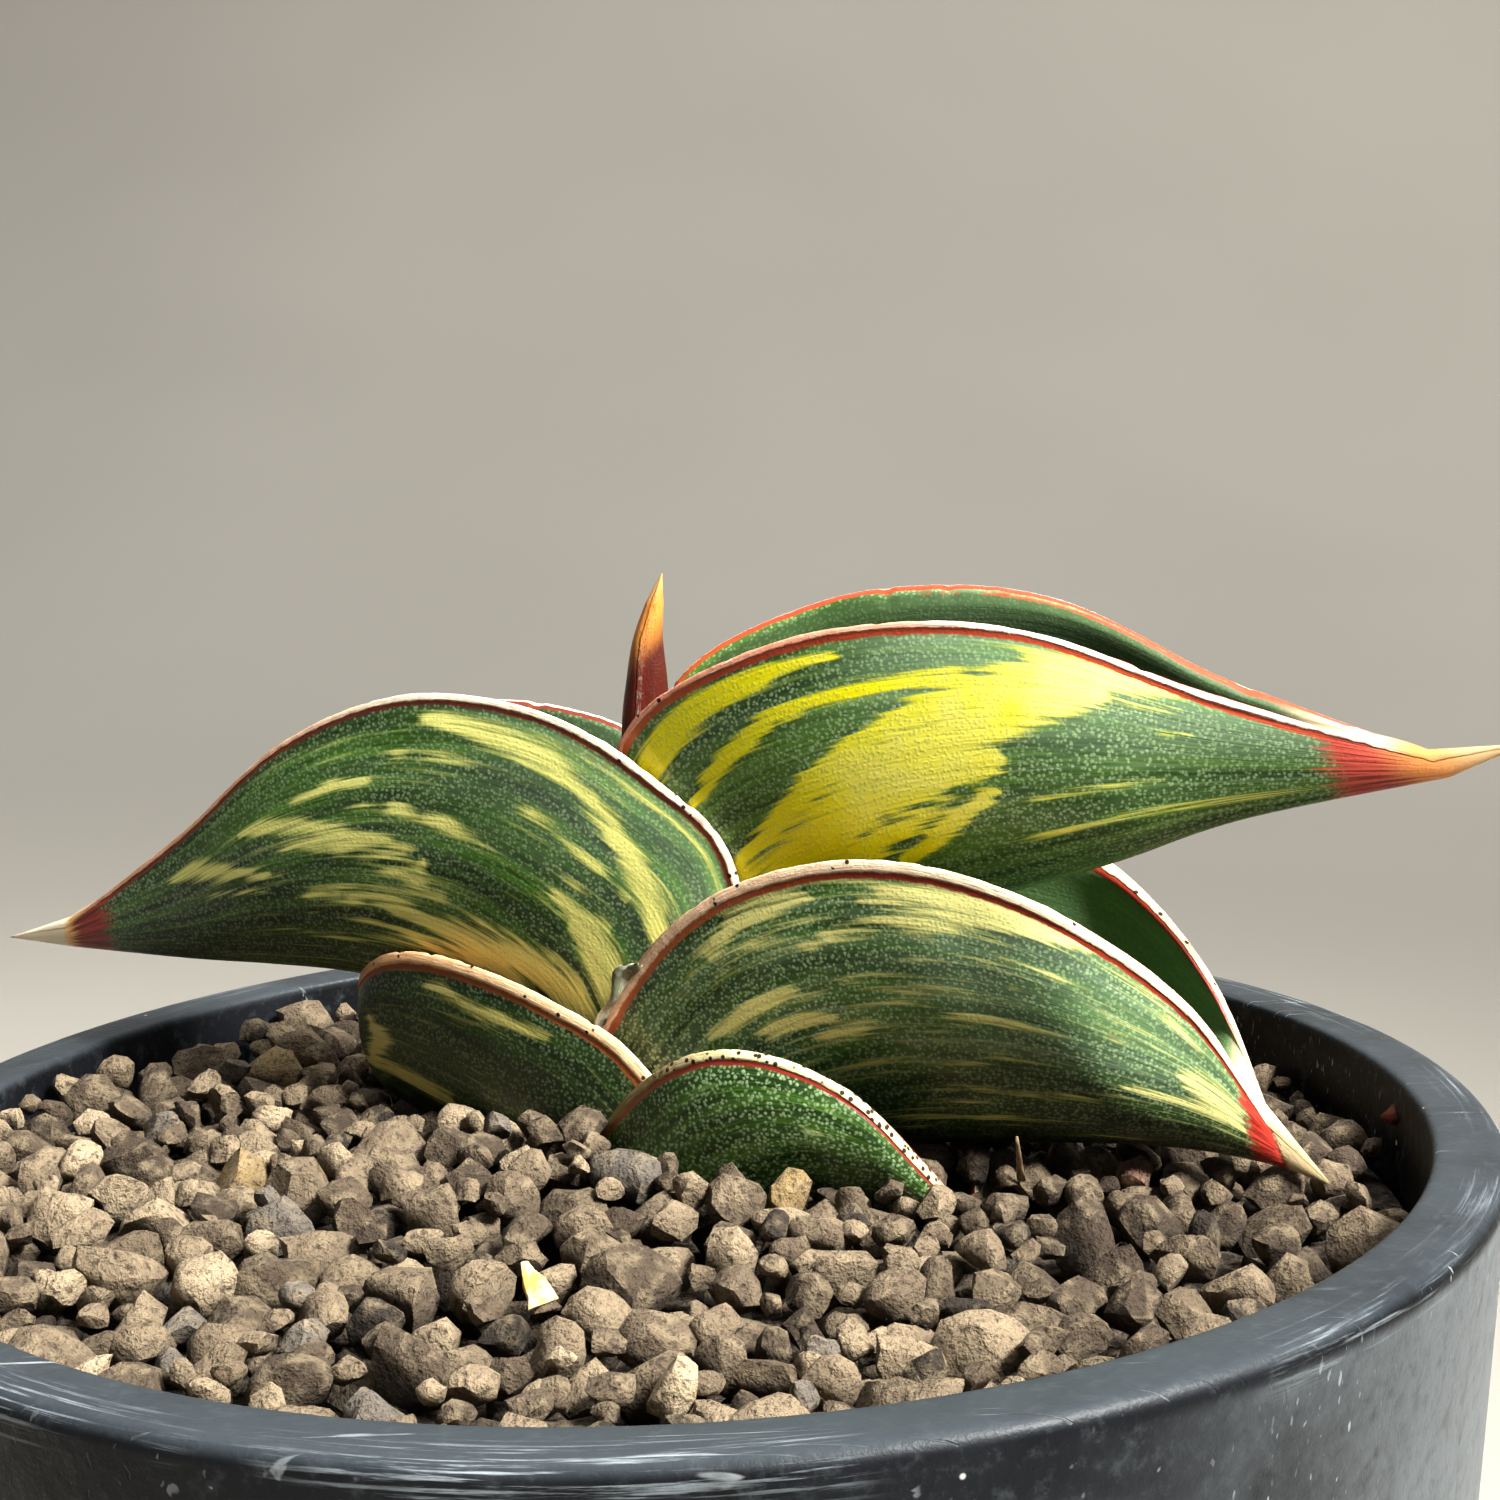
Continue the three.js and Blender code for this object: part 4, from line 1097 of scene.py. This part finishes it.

# %% [markdown]
# A grain starts as a ball of 80 faces. A few random planes press it flat in places, which leaves
# facets with soft corners, and it is squeezed and turned. With a rough finish so few faces are
# enough. Each point notes how deep it lies, because a painted shade darkens a grain in the crevices.

# %% Grain shapes
SHAPES = 40
BATCH = 25
PRESSES = 10
DARK_FROM = 0.3
DARK_DEPTH = 3.4
SHADED_SIDE = 22
ball = bmesh.new()
bmesh.ops.create_icosphere(ball, subdivisions=2, radius=1.0)
ball_points = np.array([v.co[:] for v in ball.verts])
ball.free()


def pressed_shape():
    points = ball_points.copy()
    for _ in range(PRESSES):
        way = draw.normal(size=3)
        way /= np.linalg.norm(way)
        over = np.clip(points @ way - draw.uniform(0.44, 0.84), 0, None)
        points -= 0.97 * over[:, None] * way
    points *= 1.09 + draw.normal(size=(len(points), 1)) * 0.055
    return points * draw.uniform([0.98, 0.84, 0.76], [1.26, 1.04, 0.98])


shapes = [pressed_shape() for _ in range(SHAPES)]


def grain_finish():
    f = Finish("pumice")
    tone, kind = f.attribute("tone"), f.attribute("kind")
    ramp = f.add("ValToRGB", {0: tone})
    stops = ramp.color_ramp.elements
    stops[0].color, stops[1].color = srgb(0x44392E), srgb(0xB8A486)
    for place, code in ((0.3, 0x605242), (0.6, 0x7A6A56), (0.85, 0x95836A)):
        stops.new(place).color = srgb(code)
    rare = f.add("ValToRGB", {0: kind})
    rare.color_ramp.interpolation = "CONSTANT"
    rares = rare.color_ramp.elements
    rares[0].color, rares[1].color = srgb(0x776A5A), srgb(0x8E6858)
    rares[1].position = 0.9
    for place, code in ((0.4, 0x332C26), (0.6, 0x937C54), (0.75, 0x6E665C)):
        rares.new(place).color = srgb(code)
    base = f.mix(f.mask(kind, 0.25, 0.35), ramp.outputs["Color"], rare.outputs["Color"])
    lumps = f.noise(f.place, 650, detail=3, roughness=0.5)
    pits = f.noise(f.place, 1700, detail=4, roughness=0.6)
    grit = f.noise(f.place, 5200, detail=3, roughness=0.7)
    base = f.mix(f.maths("MULTIPLY", f.mask(lumps, 0.45, 0.65), 0.4), base, srgb(0xA89678))
    base = f.mix(f.maths("MULTIPLY", f.mask(pits, 0.46, 0.32), 0.75), base, srgb(0x332A21))
    base = f.mix(f.maths("MULTIPLY", f.mask(grit, 0.45, 0.32), 0.5), base, srgb(0x463A2C))
    # Deep between its neighbours a grain gets a painted shade.
    base = f.mix(f.maths("MULTIPLY", f.attribute("buried"), 0.88), base, srgb(0x120E0A))
    normal = f.bump(lumps, 0.8)
    normal = f.bump(pits, 0.6, normal)
    normal = f.bump(grit, 0.16, normal)
    return f.done(base, 0.94, normal, specular=0.25)


PUMICE = grain_finish()


def add_batch(bm, chosen):
    """Shaped grains, made in a small bmesh of their own because each operator call walks it all."""
    batch = bmesh.new()
    tone_layer = batch.verts.layers.float.new("tone")
    kind_layer = batch.verts.layers.float.new("kind")
    buried_layer = batch.verts.layers.float.new("buried")
    for x, y, z, radius in chosen:
        points = shapes[draw.integers(SHAPES)]
        turn = Matrix.Rotation(draw.uniform(0, 2 * math.pi), 3, "Z")
        tilt = Matrix.Rotation(draw.normal() * 0.5, 3, "X")
        spin = np.array(turn @ tilt @ Matrix.Rotation(draw.uniform(0, 2 * math.pi), 3, "Z"))
        placed = (points @ spin.T * radius * 1.08 + (x, y, z)) * MM
        # Painted shade: grains on the right side get a darker tone.
        tone = draw.random() * (1.0 if x < SHADED_SIDE else 0.55)
        surface = surface_height(x, y) - DARK_FROM
        kind = draw.choice([0.0, 0.5, 0.65, 0.8, 0.95], p=[0.92, 0.045, 0.006, 0.026, 0.003])
        made = bmesh.ops.create_icosphere(batch, subdivisions=2, radius=1.0)["verts"]
        for vert, point in zip(made, placed):
            vert.co = point
            vert[tone_layer] = tone
            vert[kind_layer] = kind
            vert[buried_layer] = float(np.clip((surface - point[2] / MM) / DARK_DEPTH, 0, 1))
    mesh = bpy.data.meshes.new("batch")
    batch.to_mesh(mesh)
    batch.free()
    bm.from_mesh(mesh)
    bpy.data.meshes.remove(mesh)


def grain_piece(name, chosen):
    bm = bmesh.new()
    for start in range(0, len(chosen), BATCH):
        add_batch(bm, chosen[start:start + BATCH])
    return finished_piece(name, bm, PUMICE, ("gravel",), crease=40)


# Three strips from the front to the back keep each piece light.
STRIPS = {"gravel_front": (-99, -22), "gravel_middle": (-22, 8), "gravel_back": (8, 99)}
for name, (low, high) in STRIPS.items():
    grain_piece(name, grains[(grains[:, 1] >= low) & (grains[:, 1] < high)])

# %% [markdown]
# ## Litter
# A real pot is never swept: a pale splinter, a scrap of dark red leaf and a short stick lie on the
# gravel, and a papery flake of old skin clings to the lower right leaf's margin. Each is a cone
# or a grid made uneven. They are small, but a viewer soon finds them. Blender seeds its vector
# noise from the clock, so it gets a seed here, and the litter keeps its shape in every run.

# %% Litter
NOISE_SEED = 1795754922
noise.seed_set(NOISE_SEED)


def dry_finish(name, light, dark):
    f = Finish(name)
    streak = f.noise(f.stretched(f.place, (900, 900, 260)), 1.0, detail=4, roughness=0.65)
    base = f.mix(f.mask(streak, 0.4, 0.62), srgb(dark), srgb(light))
    return f.done(base, 0.8, f.bump(streak, 0.12), specular=0.3)


def splinter(name, base, top, width, finish):
    base, top = Vector(base) * MM, Vector(top) * MM
    way = (top - base).to_track_quat("Z", "Y").to_matrix().to_4x4()
    flat = Matrix.Diagonal((1, 0.4, 1, 1))
    bm = bmesh.new()
    bmesh.ops.create_cone(bm, cap_ends=True, segments=10, radius1=width / 2 * MM,
                          radius2=width / 7 * MM, depth=(top - base).length,
                          matrix=Matrix.Translation((base + top) / 2) @ way @ flat)
    bmesh.ops.subdivide_edges(bm, edges=bm.edges[:], cuts=3, use_grid_fill=True)
    for vert in bm.verts:
        vert.co += noise.noise_vector(vert.co * 700) * 0.14 * width * MM
    bmesh.ops.recalc_face_normals(bm, faces=bm.faces)
    return finished_piece(name, bm, finish)


straw = dry_finish("straw", 0xF8DCA0, 0xD89C48)
bark = dry_finish("bark", 0x9A8260, 0x54432E)
scrap = dry_finish("scrap", 0x7A3A24, 0x3A1812)
splinter("litter_splinter", (-6.8, -31.0, 87.0), (-8.0, -29.6, 89.3), 2.4, straw)
splinter("litter_stick", (25.3, -9.6, 86.6), (24.9, -11.2, 90.3), 0.7, bark)
splinter("litter_scrap", (54.4, 0.2, 86.9), (56.3, 1.9, 88.6), 1.9, scrap)

FLAKE_STEPS = (14, 5)
flake = bmesh.new()
bmesh.ops.create_grid(flake, x_segments=FLAKE_STEPS[0], y_segments=FLAKE_STEPS[1], size=0.5)
for vert in flake.verts:
    way, rise = vert.co.x + 0.5, vert.co.y + 0.5
    place = Vector(outer_point(LEAVES["leaf_lower_right"], blend(0.2, 0.292, way), -1.0))
    width = (0.35 + 1.1 * math.sin(math.pi * (1 - way) ** 0.6)) * (0.9 + 0.3 * math.sin(9 * way))
    crumple = noise.noise_vector((way * 4, rise * 2, 0.7)) * 0.35
    place += Vector((-0.75, -0.35, 0.35)) * rise * width + Vector((0.1, -0.45, 0.1)) + crumple
    vert.co = place * MM
bmesh.ops.solidify(flake, geom=flake.faces[:], thickness=0.08 * MM)
bmesh.ops.recalc_face_normals(flake, faces=flake.faces)
finished_piece("leaf_lower_right_flake", flake, dry_finish("papery", 0xB4B49A, 0x6C7054))

# %% [markdown]
# Below the loose grains the same gravel goes on down to the pot's floor. Nothing of it is seen
# but dark gaps, so one turned block with a gritty finish stands for it, its colour a painted shade.

# %% Gravel below
BED_TOP = POT_HEIGHT - 3.0 - LAYER_DEPTH + 1.5


def bed_finish():
    f = Finish("packed_gravel_painted_shade")
    grit = f.noise(f.place, 900, detail=4, roughness=0.7)
    # Painted shade: the block is much darker than the loose grains.
    base = f.mix(f.mask(grit, 0.4, 0.65), srgb(0x1E1914), srgb(0x5A4E42))
    return f.done(base, 0.95, f.bump(grit, 0.8), specular=0.2)


bed_profile = [
    (0, FLOOR_TOP + 0.3, 0),
    (inner_radius(FLOOR_TOP) - 3.3, FLOOR_TOP + 0.3, 0),
    (inner_radius(FLOOR_TOP + 3) - 0.3, FLOOR_TOP + 3, 0),
    (inner_radius(BED_TOP) - 0.3, BED_TOP, 0.5),
    (0, BED_TOP, 0),
]
finished_piece("gravel_below", turned(bed_profile), bed_finish(), ("gravel",))


# %% [markdown]
# ## Crown and roots
# They are buried, and the CAD node already has their shape. Only its plain colour is replaced.

# %% Crown and roots finish
def root_finish():
    f = Finish("root_bark")
    rings = f.noise(f.stretched(f.place, (120, 120, 500)), 1.0, detail=4, roughness=0.6)
    base = f.mix(f.mask(rings, 0.4, 0.65), srgb(0xA88A5C), srgb(0xD8C49A))
    return f.done(base, 0.75, f.bump(rings, 0.3), specular=0.35)


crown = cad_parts["crown_and_roots"]
for holder in crown.material_slots:
    holder.material = root_finish()
print("crown finished")

# %% [markdown]
# ## Studio
# A pale sweep of paper lies below and rises behind. The main light is a small window, high at the
# front right and narrowed to a beam, so the leaves' upper halves shine, their undersides go dark
# and the gaps in the gravel stay deep. A soft, cool sky behind lights the rims, and a third light
# only brightens the paper wall.


# %% Studio
def paper_finish():
    f = Finish("paper")
    tone = f.noise(f.place, 3, detail=2)
    base = f.mix(f.mask(tone, 0.3, 0.7), srgb(0xB0ABA1), srgb(0xB5B0A6))
    return f.done(base, 0.9, specular=0.2)


SWEEP_FLAT = 0.6
SWEEP_RADIUS = 1.1
sweep = bmesh.new()
path = [sweep.verts.new((-2.5, -2.5, 0)), sweep.verts.new((-2.5, SWEEP_FLAT, 0))]
sweep.edges.new(path)
bend = bmesh.ops.spin(sweep, geom=[path[1]], cent=(0, SWEEP_FLAT, SWEEP_RADIUS), axis=(1, 0, 0),
                      angle=math.pi / 2, steps=24)
last = [g for g in bend["geom_last"] if isinstance(g, bmesh.types.BMVert)][0]
wall = bmesh.ops.extrude_vert_indiv(sweep, verts=[last])["verts"]
bmesh.ops.translate(sweep, verts=wall, vec=(0, 0, 2.5))
pulled = bmesh.ops.extrude_edge_only(sweep, edges=sweep.edges[:])["geom"]
side_verts = [g for g in pulled if isinstance(g, bmesh.types.BMVert)]
bmesh.ops.translate(sweep, verts=side_verts, vec=(5, 0, 0))
bmesh.ops.recalc_face_normals(sweep, faces=sweep.faces)
sweep_mesh = bpy.data.meshes.new("paper_sweep")
sweep.to_mesh(sweep_mesh)
sweep.free()
sweep_mesh.materials.append(paper_finish())
sweep_mesh.polygons.foreach_set("use_smooth", [True] * len(sweep_mesh.polygons))
floor = bpy.data.objects.new("paper_sweep", sweep_mesh)
scene.collection.objects.link(floor)


def area_light(name, place, size, power, colour, aim_at=(0, 0, 0.1), spread=180):
    data = bpy.data.lights.new(name, "AREA")
    data.spread = math.radians(spread)
    data.shape, data.size, data.energy, data.color = "DISK", size, power, colour
    lamp = bpy.data.objects.new(name, data)
    scene.collection.objects.link(lamp)
    lamp.location = place
    aim = Vector(aim_at) - Vector(place)
    lamp.rotation_mode = "QUATERNION"
    lamp.rotation_quaternion = aim.to_track_quat("-Z", "Y")


area_light("window", (0.52, -0.345, 0.72), 0.24, 2.05, (1.0, 0.985, 0.95), spread=44)
area_light("sky", (-0.3, 0.75, 1.2), 0.8, 5.0, (0.93, 0.97, 1.0))
area_light("wall", (0.7, 0.2, 2.1), 1.2, 44, (1.0, 0.98, 0.95), aim_at=(0.6, 1.7, 1.1))
world = bpy.data.worlds.new("studio")
scene.world = world
world.use_nodes = True
world.node_tree.nodes["Background"].inputs["Color"].default_value = (0.8, 0.82, 0.85, 1)
world.node_tree.nodes["Background"].inputs["Strength"].default_value = 0.15
scene.view_settings.view_transform = "Standard"
print("studio lit")
